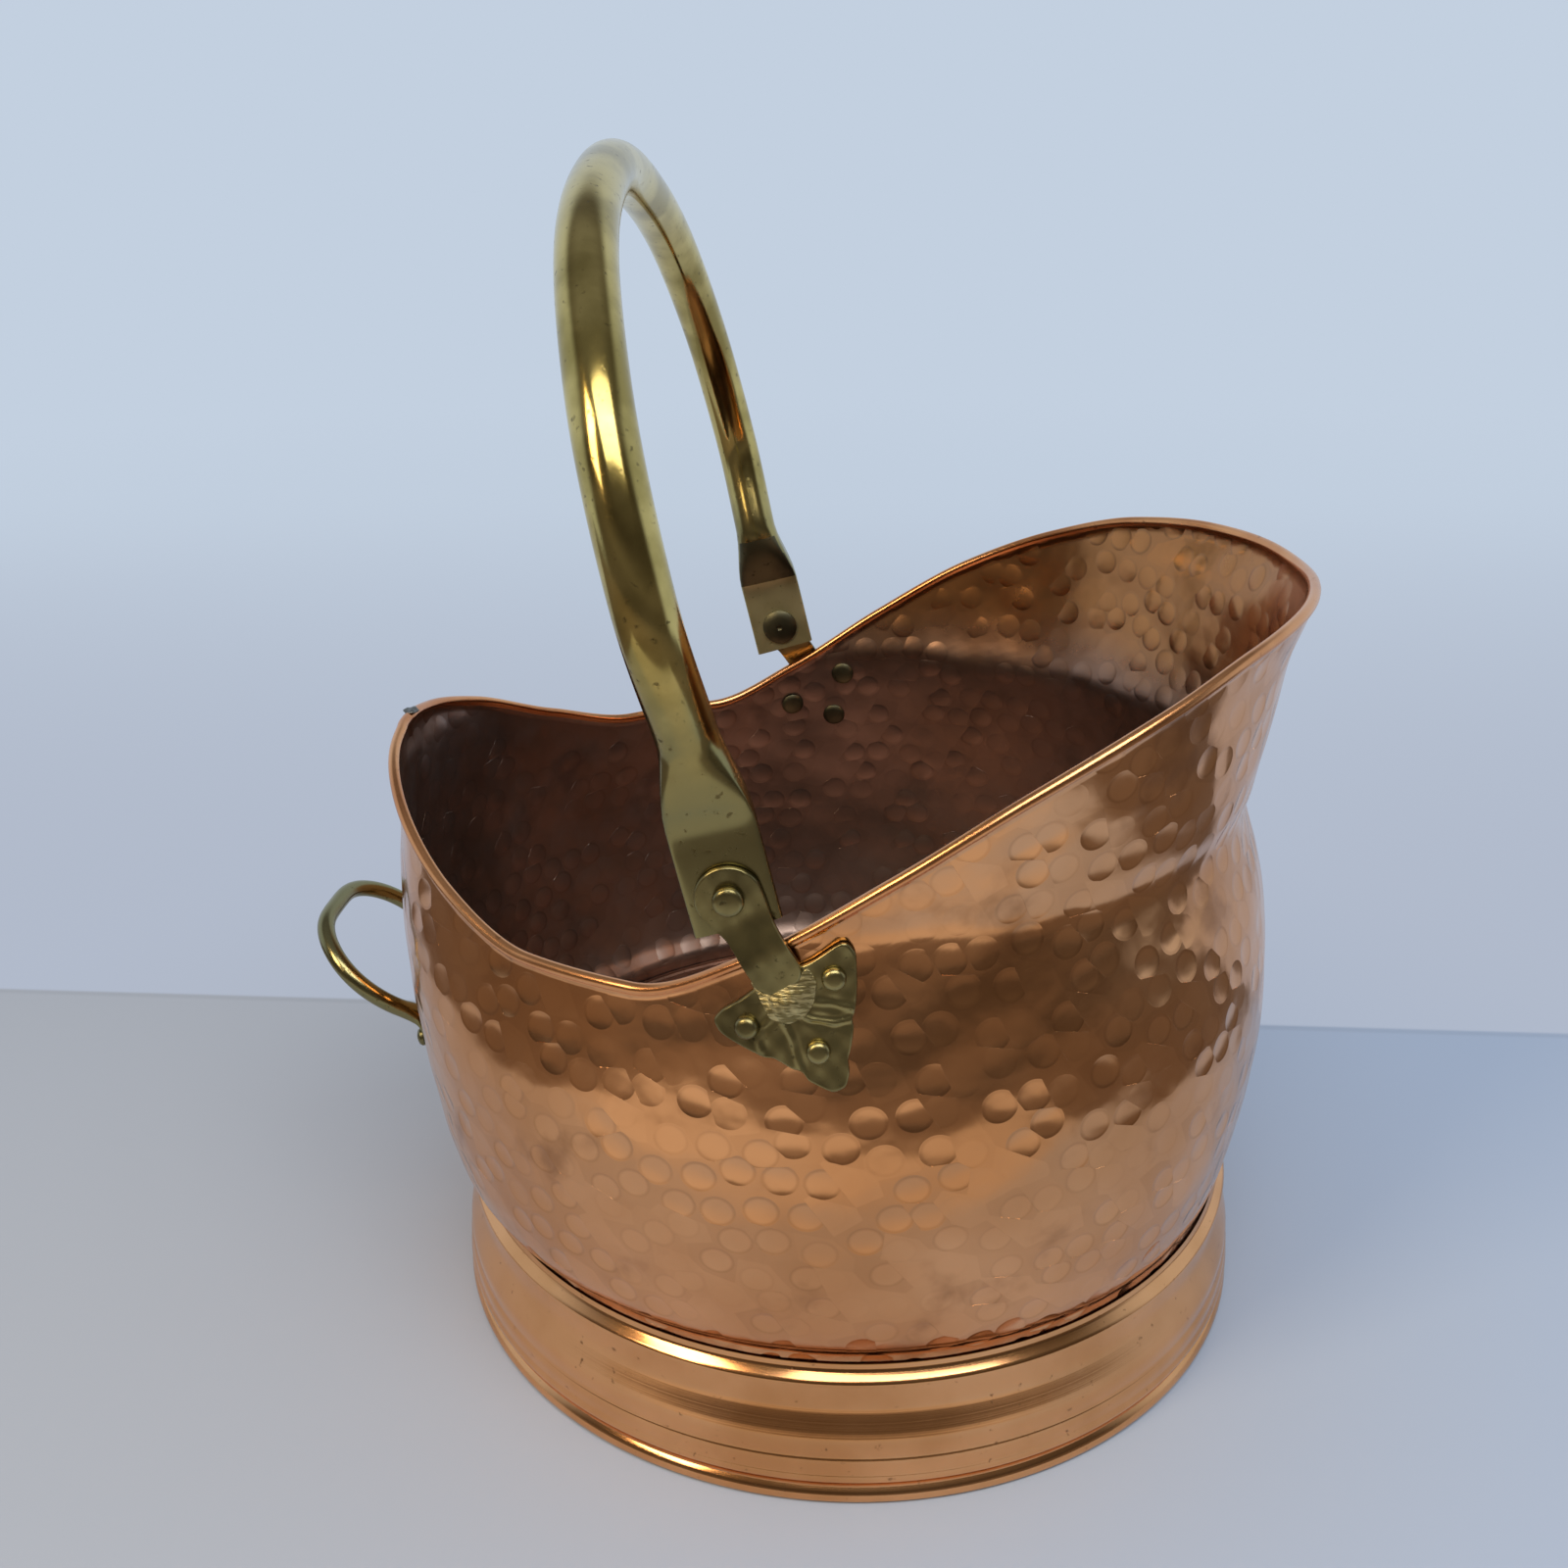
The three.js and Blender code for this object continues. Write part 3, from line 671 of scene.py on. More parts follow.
@dataclass
class Finishes:
    """All finishes of the scuttle, made once."""

    outside: bpy.types.Material = material_of(
        HammeredCopper("hammered_copper_outside", "#EFB07C", "#DC9C68", "#8F5D3A", 0.1))
    inside: bpy.types.Material = material_of(
        HammeredCopper("hammered_copper_inside", "#A08A80", "#857369", "#62524A", 0.32, raised=True,
                       dust="#8F8886", polished="#C08452", polished_mm=(182, 222)))
    rim: bpy.types.Material = material_of(SpunCopper("rolled_copper_rim", "#F0AC74", "#D58C5A", 0.18))
    foot: bpy.types.Material = material_of(SpunCopper("spun_copper_foot", "#F2B27A", "#DC9C64", 0.11))
    floor: bpy.types.Material = material_of(SpunCopper("copper_floor", "#A98471", "#7A6054", 0.4))
    tube: bpy.types.Material = material_of(
        HandledBrass("polished_brass_tube", "#D9C27A", "#A99556", "#5E5030", 0.08, satin_mm=(282, 224)))
    plate: bpy.types.Material = material_of(
        HandledBrass("pressed_brass_plate", "#9A8F62", "#746C4A", "#3A3524", 0.24, relief_mm=0.06))
    braze: bpy.types.Material = material_of(FiledBraze())
    solder: bpy.types.Material = material_of(
        HandledBrass("tin_solder", "#8C8C88", "#6E6F6C", "#4A4A48", 0.4))
    dull: bpy.types.Material = material_of(
        HandledBrass("dull_brass_inner_face", "#CFC79A", "#B4AB7E", "#6E6646", 0.42))
    tail: bpy.types.Material = material_of(
        HandledBrass("tarnished_brass_tail", "#6E6A52", "#4E4B3B", "#2C2A22", 0.38))


# ---------------------------------------------------------------- sub-assemblies


@dataclass
class Bucket:
    """The hammered wall with its rolled rim, the foot ring and the floor."""

    finishes: Finishes
    columns: int = 480
    outer_rows: int = 96
    roll_rows: int = 12
    inner_rows: int = 60
    collar_radius: float = 133.0
    collar_bottom: float = 41.0
    collar_top: float = 49.0
    roll: float = 1.8
    seam_step: float = 0.35
    seam_edge: float = 0.012  # radians over which the lap steps out
    foot_profile: tuple = (
        (136.6, 0), (138.2, 0), (139.3, 0.25), (140.2, 1.0), (140.55, 2.3), (140.2, 3.6), (139.5, 4.5),
        (138.8, 5.2), (138.75, 6.0), (139.1, 6.9), (139.8, 7.7), (140.3, 8.7), (140.25, 9.7),
        (139.95, 10.5), (139.75, 10.9), (139.72, 11.6), (139.85, 13), (139.85, 14.6), (139.7, 15.6),
        (139.4, 16.3), (139.15, 16.7), (139.1, 17.4), (139.2, 18.4), (139.25, 20.0), (139.2, 21.4),
        (139.05, 22.2), (138.65, 23.4), (137.8, 25.4), (136.95, 27.4), (136.1, 29.4), (135.5, 30.9),
        (135.2, 32.0), (135.05, 33.6), (135.0, 36.4), (134.95, 38.3), (134.8, 39.0), (134.8, 39.5),
        (135.2, 39.9), (136.2, 40.2),
        (136.7, 40.7), (136.8, 41.3), (136.55, 41.9), (135.9, 42.5), (134.3, 43.9), (133.8, 44.5),
        (133.6, 45.2), (133.55, 46.2), (133.4, 46.5), (133.3, 46.2), (133.3, 41), (133.3, 38.5), (133.7, 35),
        (134.6, 30.5), (136.0, 25.5), (137.1, 21), (137.5, 15.8), (138.2, 13), (138.6, 9.5), (137.6, 7.5),
        (137.3, 5.0), (136.9, 2.6), (136.2, 0.9), (136.6, 0),
    )

    @property
    def rows(self) -> int:
        """The rows of the wall's sheet, of which two close it at the collar."""
        return self.outer_rows + self.roll_rows + self.inner_rows + 2

    def section(self, u: Array, w: Array) -> tuple:
        """Finds a place of the closed wall section.

        Args:
            u: Positions round the wall, from 0 at the back to 1.
            w: Positions up the outside, over the rim and down the inside, from 0 to 1.

        Returns:
            Angle, radius, height and whether the place is on the rolled rim.
        """
        theta = u * 2 * math.pi + math.pi
        a = WALL.angle(theta)
        top, lip = WALL.rim_z(a), WALL.rim_r(a) - SHEET / 2
        n = np.round(w * self.rows)
        low, ease = self.collar_bottom, self.collar_top
        outer = np.clip((n - 2) / (self.outer_rows - 2), 0, 1)
        inner = np.clip((n - self.outer_rows - self.roll_rows - 1) / self.inner_rows, 0, 1)
        z_out = np.where(n < 2, low + n / 2 * (ease - low), ease + outer * (top - self.roll - ease))
        z_in = top - self.roll - inner * (top - self.roll - low)
        bend = (-60 + 300 * np.clip((n - self.outer_rows) / (self.roll_rows + 1), 0, 1)) * RAD
        rolled = (n > self.outer_rows) & (n < self.outer_rows + self.roll_rows + 1)
        inside = n >= self.outer_rows + self.roll_rows + 1
        closing = n >= self.rows
        z_wall = np.where(inside, z_in, z_out)
        r_wall = np.where(z_wall < ease, self.collar_radius, WALL.radius(theta, np.maximum(z_wall, ease)))
        r_wall = r_wall - np.where(inside, SHEET, 0.0)
        radius = np.where(rolled, lip + self.roll * np.cos(bend), r_wall)
        height = np.where(rolled, top + self.roll * np.sin(bend), z_wall)
        radius = np.where(closing, self.collar_radius, radius)
        height = np.where(closing, low, height)
        return theta, radius, height, rolled

    def uneven(self, theta: Array, z: Array) -> Array:
        """Returns the slow waviness that hammering leaves in the sheet, in mm."""
        fade = smooth(52, 75, z)
        slow = 0.35 * np.sin(7 * theta + 0.05 * z) * np.sin(0.045 * z + 1.3)
        quick = 0.22 * np.sin(17 * theta - 0.11 * z + 0.7) * np.cos(0.13 * z + 2 * np.sin(3 * theta))
        return fade * (slow + quick)

    def form(self, u: Array, w: Array) -> Array:
        """Returns the wall's points, with its waviness and the lapped seam at the back."""
        theta, radius, height, rolled = self.section(u, w)
        a = WALL.angle(theta)
        hem = 1 - smooth(0, 14, WALL.rim_z(a) - height)
        wavy = self.uneven(theta, height) * (1 - 0.75 * hem) * np.where(rolled, 0.25, 1)
        past = theta - math.pi
        lap = self.seam_step * smooth(0, self.seam_edge, past) * (1 - smooth(0.05, 0.075, past))
        radius = radius + wavy + lap * smooth(50, 56, height)
        return np.stack([radius * np.cos(theta), radius * np.sin(theta), height], 1)

    def pattern(self, u: Array, w: Array) -> Array:
        """Returns the sheet laid flat, in metres: run round the wall and height."""
        mean_radius = 142
        theta, _, height, _ = self.section(u, w)
        return np.stack([(theta * mean_radius) * MM, height * MM], 1)

    def build_wall(self) -> None:
        """Rolls up the wall, gives it its three finishes and hands it over."""
        wall = formed_sheet("bucket_wall", self.columns, self.rows, self.form, self.pattern)
        for material in (self.finishes.outside, self.finishes.inside, self.finishes.rim):
            wall.data.materials.append(material)
        centres = np.zeros(len(wall.data.polygons) * 3, np.float32)
        wall.data.polygons.foreach_get("center", centres)
        centres = centres.reshape(-1, 3) / MM - np.array([AXIS_X, 0, 0])
        theta = np.arctan2(centres[:, 1], centres[:, 0])
        top = WALL.rim_z(WALL.angle(theta))
        radius = np.hypot(centres[:, 0], centres[:, 1])
        middle = WALL.radius(theta, np.maximum(centres[:, 2], self.collar_top)) - SHEET / 2
        kind = np.where(radius < middle, 1, 0)  # the outside's finish, the inside's, then the rim's
        kind[centres[:, 2] > top - self.roll * 0.95] = 2
        wall.data.polygons.foreach_set("material_index", kind.astype(np.int32))
        soften(wall, 60)
        hand_over(wall, Body.SCUTTLE, self.finishes.outside, ["bucket_shell"])

    def build_foot(self) -> None:
        """Spins the foot ring and finishes the floor."""
        foot = turned("spun_foot", self.foot_profile, Vector((0, 0, 0)), Vector((0, 0, 1)), 200)
        hand_over(foot, Body.SCUTTLE, self.finishes.foot, ["foot_ring"])
        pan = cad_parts["floor_pan"]
        pan.data.materials.clear()
        pan.data.materials.append(self.finishes.floor)

    def build_solder(self) -> None:
        """Lays the spot of solder where the seam meets the rim at the back."""
        take()
        bpy.ops.mesh.primitive_uv_sphere_add(segments=24, ring_count=12, radius=1)
        spot = bpy.context.object
        spot.name = spot.data.name = "seam_solder"
        theta = math.pi - self.seam_edge
        top = float(WALL.rim_z(np.array(180.0)))
        centre = WALL.point(theta, top, -SHEET / 2) + Vector((0, 0, self.roll - 0.2))
        points = np.array([v.co for v in spot.data.vertices]) * np.array([2.4, 3.4, 0.75])
        points += 0.25 * np.sin(points[:, [1, 2, 0]] * 2.1)
        settle(spot, points + np.array(centre))
        soften(spot, 60)
        hand_over(spot, Body.SCUTTLE, self.finishes.solder)

    def build(self) -> None:
        """Builds the bucket."""
        self.build_wall()
        self.build_foot()
        self.build_solder()


@dataclass
class Bail:
    """The swinging tube handle with its pressed ends, in mm."""

    finishes: Finishes
    pivot_x: float = -29.0
    pivot_z: float = 195.5
    lean: float = 12.9
    tube: float = 8.0
    flat_width: float = 23.5
    flat_thickness: float = 3.2
    flat_plane: float = 131.2  # from the middle to the pressed end's mid plane
    below: float = 9.5  # the pressed end's length under the pivot
    flat_to: float = 19.0  # above the pivot
    round_from: float = 44.0
    arch_angles: tuple = (14, 30, 46, 62, 78, 90)
    arch_radii: tuple = (133.2, 160, 175.6, 180.2, 178.8, 179.4)
    stations: int = 150
    sides: int = 56

    def __post_init__(self) -> None:
        """Makes the arch curve and the bail's own directions."""
        angles = list(self.arch_angles) + [180 - a for a in self.arch_angles[-2::-1]]
        radii = list(self.arch_radii) + list(self.arch_radii[-2::-1])
        self.arch = Curve(angles, radii)
        t = self.lean * RAD
        self.up = np.array([-math.sin(t), 0, math.cos(t)])
        self.forward = np.array([math.cos(t), 0, math.sin(t)])

    def line(self) -> Array:
        """Returns the middle line as y and height above the pivot, near end first."""
        start = self.arch_angles[0] + 2.2
        a = np.linspace(start, 180 - start, 600) * RAD
        arch = np.stack([-self.arch(a / RAD) * np.cos(a), self.arch(a / RAD) * np.sin(a)], 1)
        foot = np.stack([np.full(12, -self.flat_plane), np.linspace(-self.below, self.flat_to, 12)], 1)
        points = np.concatenate([foot, arch, foot[::-1] * [-1, 1]])
        for _ in range(10):  # ease the bend where the pressed end meets the arch
            points[1:-1] = (points[:-2] + 2 * points[1:-1] + points[2:]) / 4
        return spaced(points, self.stations)

    def form(self, u: Array, w: Array) -> Array:
        """Returns the tube's skin: u runs round it and w along it, closed at both ends."""
        line = self.line()
        tangent = np.gradient(line, axis=0)
        tangent /= np.linalg.norm(tangent, axis=1)[:, None]
        i, shrink = closed_rows(w, self.stations, 0.92)
        y, h = line[i, 0], line[i, 1]
        along = tangent[i]
        open_ = smooth(self.flat_to, self.round_from, h)
        flat = (h <= self.flat_to)[:, None]
        along = np.where(flat, np.stack([np.zeros(len(y)), np.where(y < 0, 1.0, -1.0)], 1), along)
        a = (self.flat_width / 2 * (1 - open_) + self.tube * open_) * shrink
        b = (self.flat_thickness / 2 * (1 - np.sqrt(open_)) + self.tube * np.sqrt(open_)) * shrink
        power = 6 * (1 - open_) + 2 * open_
        t = u * 2 * math.pi
        across = squarish(np.cos(t), power) * a
        through = squarish(np.sin(t), power) * b
        # the lower edge of the pressed end was cut at a slant
        slant = np.where(h < -self.below + 3, 0.05 * across, 0)
        side_y, side_h = along[:, 1], -along[:, 0]
        points = np.zeros((len(y), 3)) + (self.pivot_x, 0, self.pivot_z)
        points[:, 1] = y + through * side_y
        points += (h + through * side_h + slant)[:, None] * self.up + across[:, None] * self.forward
        return points

    def build(self) -> None:
        """Forms the tube, dulls the inner faces of its pressed ends and hands it over."""
        tube = formed_sheet("bail_tube", self.sides, self.stations + 2 * END_ROWS, self.form)
        for material in (self.finishes.tube, self.finishes.dull, self.finishes.tail):
            tube.data.materials.append(material)
        for face in tube.data.polygons:
            x, y, z = np.array(face.center) / MM
            rise = np.dot((x - AXIS_X - self.pivot_x, y, z - self.pivot_z), self.up)
            if face.normal.y * y < 0 and abs(face.normal.y) > 0.55 and rise < self.round_from - 4:
                face.material_index = 1 if rise < self.flat_to + 0.5 else 2
        soften(tube, 50)
        hand_over(tube, Body.BAIL, self.finishes.tube, ["bail_handle"])


@dataclass
class Brackets:
    """Arm, leaf plate, braze and rivets of each side, built on the +y side and mirrored."""

    finishes: Finishes
    bail: Bail
    arm_thickness: float = 2.0
    eye: float = 9.0
    neck: float = 6.6
    arm_end: tuple = (-14.5, 171.5)
    kick: float = 2.9
    leaf_thickness: float = 1.6
    leaf_centre: tuple = (-11.0, 164.0)
    outline: tuple = (
        (-27, 166.9), (-31.6, 163.8), (-34, 160.6), (-32.2, 157.6), (-27.4, 155.2), (-20.2, 152.2),
        (-18.2, 152.6), (-12.6, 149.4), (-10.6, 149.2), (-8.6, 146.4), (-2.2, 143.4), (1, 145),
        (2, 148.8), (1.4, 152.5),
        (2.4, 156), (3, 160.8), (2.4, 163), (3.4, 166), (3.8, 172.6), (3.4, 180.6), (1.2, 183.8),
        (-0.6, 183.8), (-7.5, 179), (-13.5, 176.5), (-21, 172),
    )
    veins: tuple = (
        ((-14, 166), (-8, 163.5), (-2, 162.4), (2.6, 163.2)),
        ((-14, 166), (-9, 168.4), (-3, 167.6), (3.2, 166)),
        ((-16, 164), (-13, 158), (-12, 153.5), (-10.6, 149.6)),
        ((-18, 164), (-21, 160.5), (-22, 157), (-21, 154.2)),
    )
    plate_rows: tuple = (22, 4, 8)  # over the front face, round the edge and over the back face
    rivets: tuple = (("lower", -6.3, 154.6), ("front", -2.5, 174.2), ("rear", -24.4, 160.1))

    def inside_y(self, x: Array, z: Array) -> Array:
        """Returns the y of the leaf plate's inner face over the wall."""
        theta = np.full(np.shape(x), math.pi / 2)
        for _ in range(14):
            theta = np.arccos(x / WALL.radius(theta, z))
            z = np.minimum(z, WALL.rim_z(WALL.angle(theta)) - 3.6)
        return WALL.radius(theta, z) * np.sin(theta) + SEAT

    def rounded(self, outline: Sequence[tuple], count: int) -> Array:
        """Returns an outline run through evenly by count points, its corners eased."""
        points = spaced(np.array([*outline, outline[0]], float), count)[:-1]
        for _ in range(2):
            points = (np.roll(points, 1, 0) + 2 * points + np.roll(points, -1, 0)) / 4
        return points

    def plate_form(
        self, edge: Array, centre: Sequence[float], base: Callable[[Array, Array], Array],
        thickness: float, relief: Callable[[Array, Array], Array],
    ) -> Callable[[Array, Array], Array]:
        """Returns the form of a plate: front face, rounded edge and back face.

        Args:
            edge: The plate's outline, as x and z.
            centre: The point that its rows run out from.
            base: Gives the y of its back face.
            thickness: Its thickness.
            relief: Gives what its front face is raised by.
        """
        front, turn, back = self.plate_rows

        def form(u: Array, w: Array) -> Array:
            """Returns the plate's points."""
            last = front + turn + back
            n = np.round(w * last)
            i = np.round(u * len(edge)).astype(int) % len(edge)
            reach = np.where(n <= front, n / front, np.where(n >= front + turn, (last - n) / back, 1.0))
            over = np.clip(n - front, 0, turn)
            depth = np.interp(over, (0, 1, 2, 3, 4), (1.0, 0.92, 0.72, 0.3, 0.0))
            inset = np.where(n < front, 0.0, np.interp(over, (0, 1, 2, 3, 4), (0.7, 0.28, 0.04, 0.0, 0.15)))
            inset = np.where(n > front + turn, 0.0, inset)
            x = centre[0] + (edge[i, 0] - centre[0]) * reach
            z = centre[1] + (edge[i, 1] - centre[1]) * reach
            long_ = np.maximum(np.hypot(edge[i, 0] - centre[0], edge[i, 1] - centre[1]), 1e-6)
            x -= inset * (edge[i, 0] - centre[0]) / long_
            z -= inset * (edge[i, 1] - centre[1]) / long_
            y = base(x, z) + thickness * depth + np.where(n <= front + 1, relief(x, z), 0)
            return np.stack([x, y, z], 1)

        return form

    def leaf_relief(self, x: Array, z: Array) -> Array:
        """Returns the pressed veins and the slightly uneven face of the leaf, in mm."""
        height = 0.12 * np.sin(0.9 * x + 0.4) * np.sin(0.8 * z)
        for line in self.veins:
            near = np.full(np.shape(x), 1e9)
            for (x0, z0), (x1, z1) in zip(line, line[1:]):
                dx, dz = x1 - x0, z1 - z0
                t = np.clip(((x - x0) * dx + (z - z0) * dz) / (dx * dx + dz * dz), 0, 1)
                near = np.minimum(near, np.hypot(x - x0 - t * dx, z - z0 - t * dz))
            ridge, trough = np.exp(-((near / 0.55) ** 2)), np.exp(-(((near - 1.3) / 0.7) ** 2))
            height = height + 0.32 * ridge - 0.16 * trough
        return height

    def arm_outline(self) -> list:
        """Returns the arm's outline in x and z, eye first."""
        dx, dz = self.arm_end[0] - self.bail.pivot_x, self.arm_end[1] - self.bail.pivot_z
        length = math.hypot(dx, dz)
        ux, uz = dx / length, dz / length

        def place(s: float, w: float) -> tuple:
            """Returns a point by its run along the arm and its offset."""
            return (self.bail.pivot_x + ux * s - uz * w, self.bail.pivot_z + uz * s + ux * w)

        line = [place(self.eye * math.cos(t * RAD), self.eye * math.sin(t * RAD)) for t in range(90, 271, 12)]
        runs = (5, 10, 14, 18, length - 3)
        width = [self.eye + (self.neck - self.eye) * float(smooth(0, 12, s)) for s in runs]
        line += [place(s, -w) for s, w in zip(runs, width)]
        line += [place(length, -self.neck + 2.5), place(length, self.neck - 2.5)]
        return line + [place(s, w) for s, w in reversed(list(zip(runs, width)))]

    def arm_base(self, x: Array, z: Array) -> Array:
        """Returns the y of the arm's inner face: flat at the eye, then kicked out over the rim."""
        dx, dz = self.arm_end[0] - self.bail.pivot_x, self.arm_end[1] - self.bail.pivot_z
        length = math.hypot(dx, dz)
        s = ((x - self.bail.pivot_x) * dx + (z - self.bail.pivot_z) * dz) / length
        flat = self.bail.flat_plane + self.bail.flat_thickness / 2 + SEAT
        return flat + self.kick * smooth(6, 19, s)

    def darken_tail(self, piece: bpy.types.Object, limit: float) -> None:
        """Gives the faces nearer the middle than limit, in mm, the tarnished finish."""
        piece.data.materials.append(self.finishes.plate)
        piece.data.materials.append(self.finishes.tail)
        for face in piece.data.polygons:
            face.material_index = 1 if face.center.y / MM < limit else 0

    def share(self, piece: bpy.types.Object, stem: str, material: bpy.types.Material, nodes: str) -> None:
        """Hands over a far piece and its near mirror image.

        Args:
            piece: The piece on the +y side.
            stem: Its name without the side.
            material: Its material.
            nodes: Name of the nodes it stands for, without the side, or empty.
        """
        piece.name = piece.data.name = stem + "_far"
        near = mirrored(piece, stem + "_near")
        for made, side in ((piece, "far"), (near, "near")):
            hand_over(made, Body.SCUTTLE, material, [f"{nodes}_{side}"] if nodes else [])

    def build_plates(self) -> None:
        """Builds the leaf plates and the arms."""
        edge = self.rounded(self.outline, 168)
        leaf = formed_sheet("leaf", 168, sum(self.plate_rows), self.plate_form(
            edge, self.leaf_centre, self.inside_y, self.leaf_thickness, self.leaf_relief))
        soften(leaf, 45)
        self.share(leaf, "leaf_plate", self.finishes.plate, "bracket_leaf")
        edge = self.rounded(self.arm_outline(), 120)
        arm = formed_sheet("arm", 120, sum(self.plate_rows), self.plate_form(
            edge, (-24.5, 188.3), self.arm_base, self.arm_thickness,
            lambda x, z: 0.05 * np.sin(1.1 * x) * np.sin(0.7 * z)))
        soften(arm, 45)
        self.share(arm, "arm_strip", self.finishes.plate, "bracket_arm")

    def build_braze(self) -> None:
        """Heaps the filed braze that joins each arm to its leaf."""
        edge = self.rounded(((-24, 172.5), (-21.5, 168), (-19, 163.5), (-14, 162), (-9.5, 164), (-7, 168.5),
                             (-6.5, 174), (-9, 177.5), (-12, 175), (-17, 171), (-21, 172.6)), 90)

        def heap(x: Array, z: Array) -> Array:
            """Returns the heap's height over the leaf."""
            run = (x + 15) * 0.53 + (z - 168.5) * -0.85
            side = (x + 15) * 0.85 + (z - 168.5) * 0.53
            rise = np.exp(-((run - 1) / 4.2) ** 2) * np.exp(-(side / 7.5) ** 2)
            return 1.75 * rise + 0.12 * np.sin(2.3 * x + z) * rise

        braze = formed_sheet("braze", 90, sum(self.plate_rows), self.plate_form(
            edge, (-14.5, 168.0), lambda x, z: self.inside_y(x, z) + self.leaf_thickness - 0.25, 0.35, heap))
        soften(braze, 50)
        self.share(braze, "braze_fillet", self.finishes.braze, "")

    def build_rivets(self) -> None:
        """Turns the leaf rivets and the two pivot rivets."""
        for name, x, z in self.rivets:
            theta = WALL.theta_at(x, z)
            head = SEAT * 2 + self.leaf_thickness
            back = -SHEET - SEAT
            profile = (
                (0, back - 1.2), (2.8, back - 1.15), (4.0, back - 0.8), (4.6, back - 0.3), (4.5, back),
                (1.6, back), (1.6, head - 0.2), (3.15, head - 0.2), (3.25, head + 0.4),
                (3.1, head + 1.2), (2.7, head + 1.8), (2.1, head + 2.15), (1.3, head + 2.3), (0, head + 2.3))
            rivet = turned(name, profile, WALL.point(theta, z), WALL.normal(theta, z), 36)
            self.darken_tail(rivet, WALL.point(theta, z).y - 0.5)
            self.share(rivet, f"rivet_{name}", self.finishes.plate, f"leaf_rivet_{name}")
        head = self.bail.flat_plane + self.bail.flat_thickness / 2 + SEAT * 2 + self.arm_thickness
        back = self.bail.flat_plane - self.bail.flat_thickness / 2 - SEAT
        profile = (
            (0, back - 1.2), (0.7, back - 1.3), (1.2, back - 1.75), (4.0, back - 1.7), (6.0, back - 1.2),
            (7.0, back - 0.6), (7.1, back), (2.5, back), (2.5, head - 0.25), (4.1, head - 0.25),
            (4.15, head + 0.9), (4.0, head + 1.7), (3.5, head + 2.3), (2.6, head + 2.55), (0, head + 2.6))
        centre = Vector((self.bail.pivot_x, 0, self.bail.pivot_z))
        pin = turned("pin", profile, centre, Vector((0, 1, 0)), 48)
        self.darken_tail(pin, back + 0.3)
        self.share(pin, "pivot_pin", self.finishes.plate, "pivot_rivet")

    def build(self) -> None:
        """Builds both brackets."""
        self.build_plates()
        self.build_braze()
        self.build_rivets()


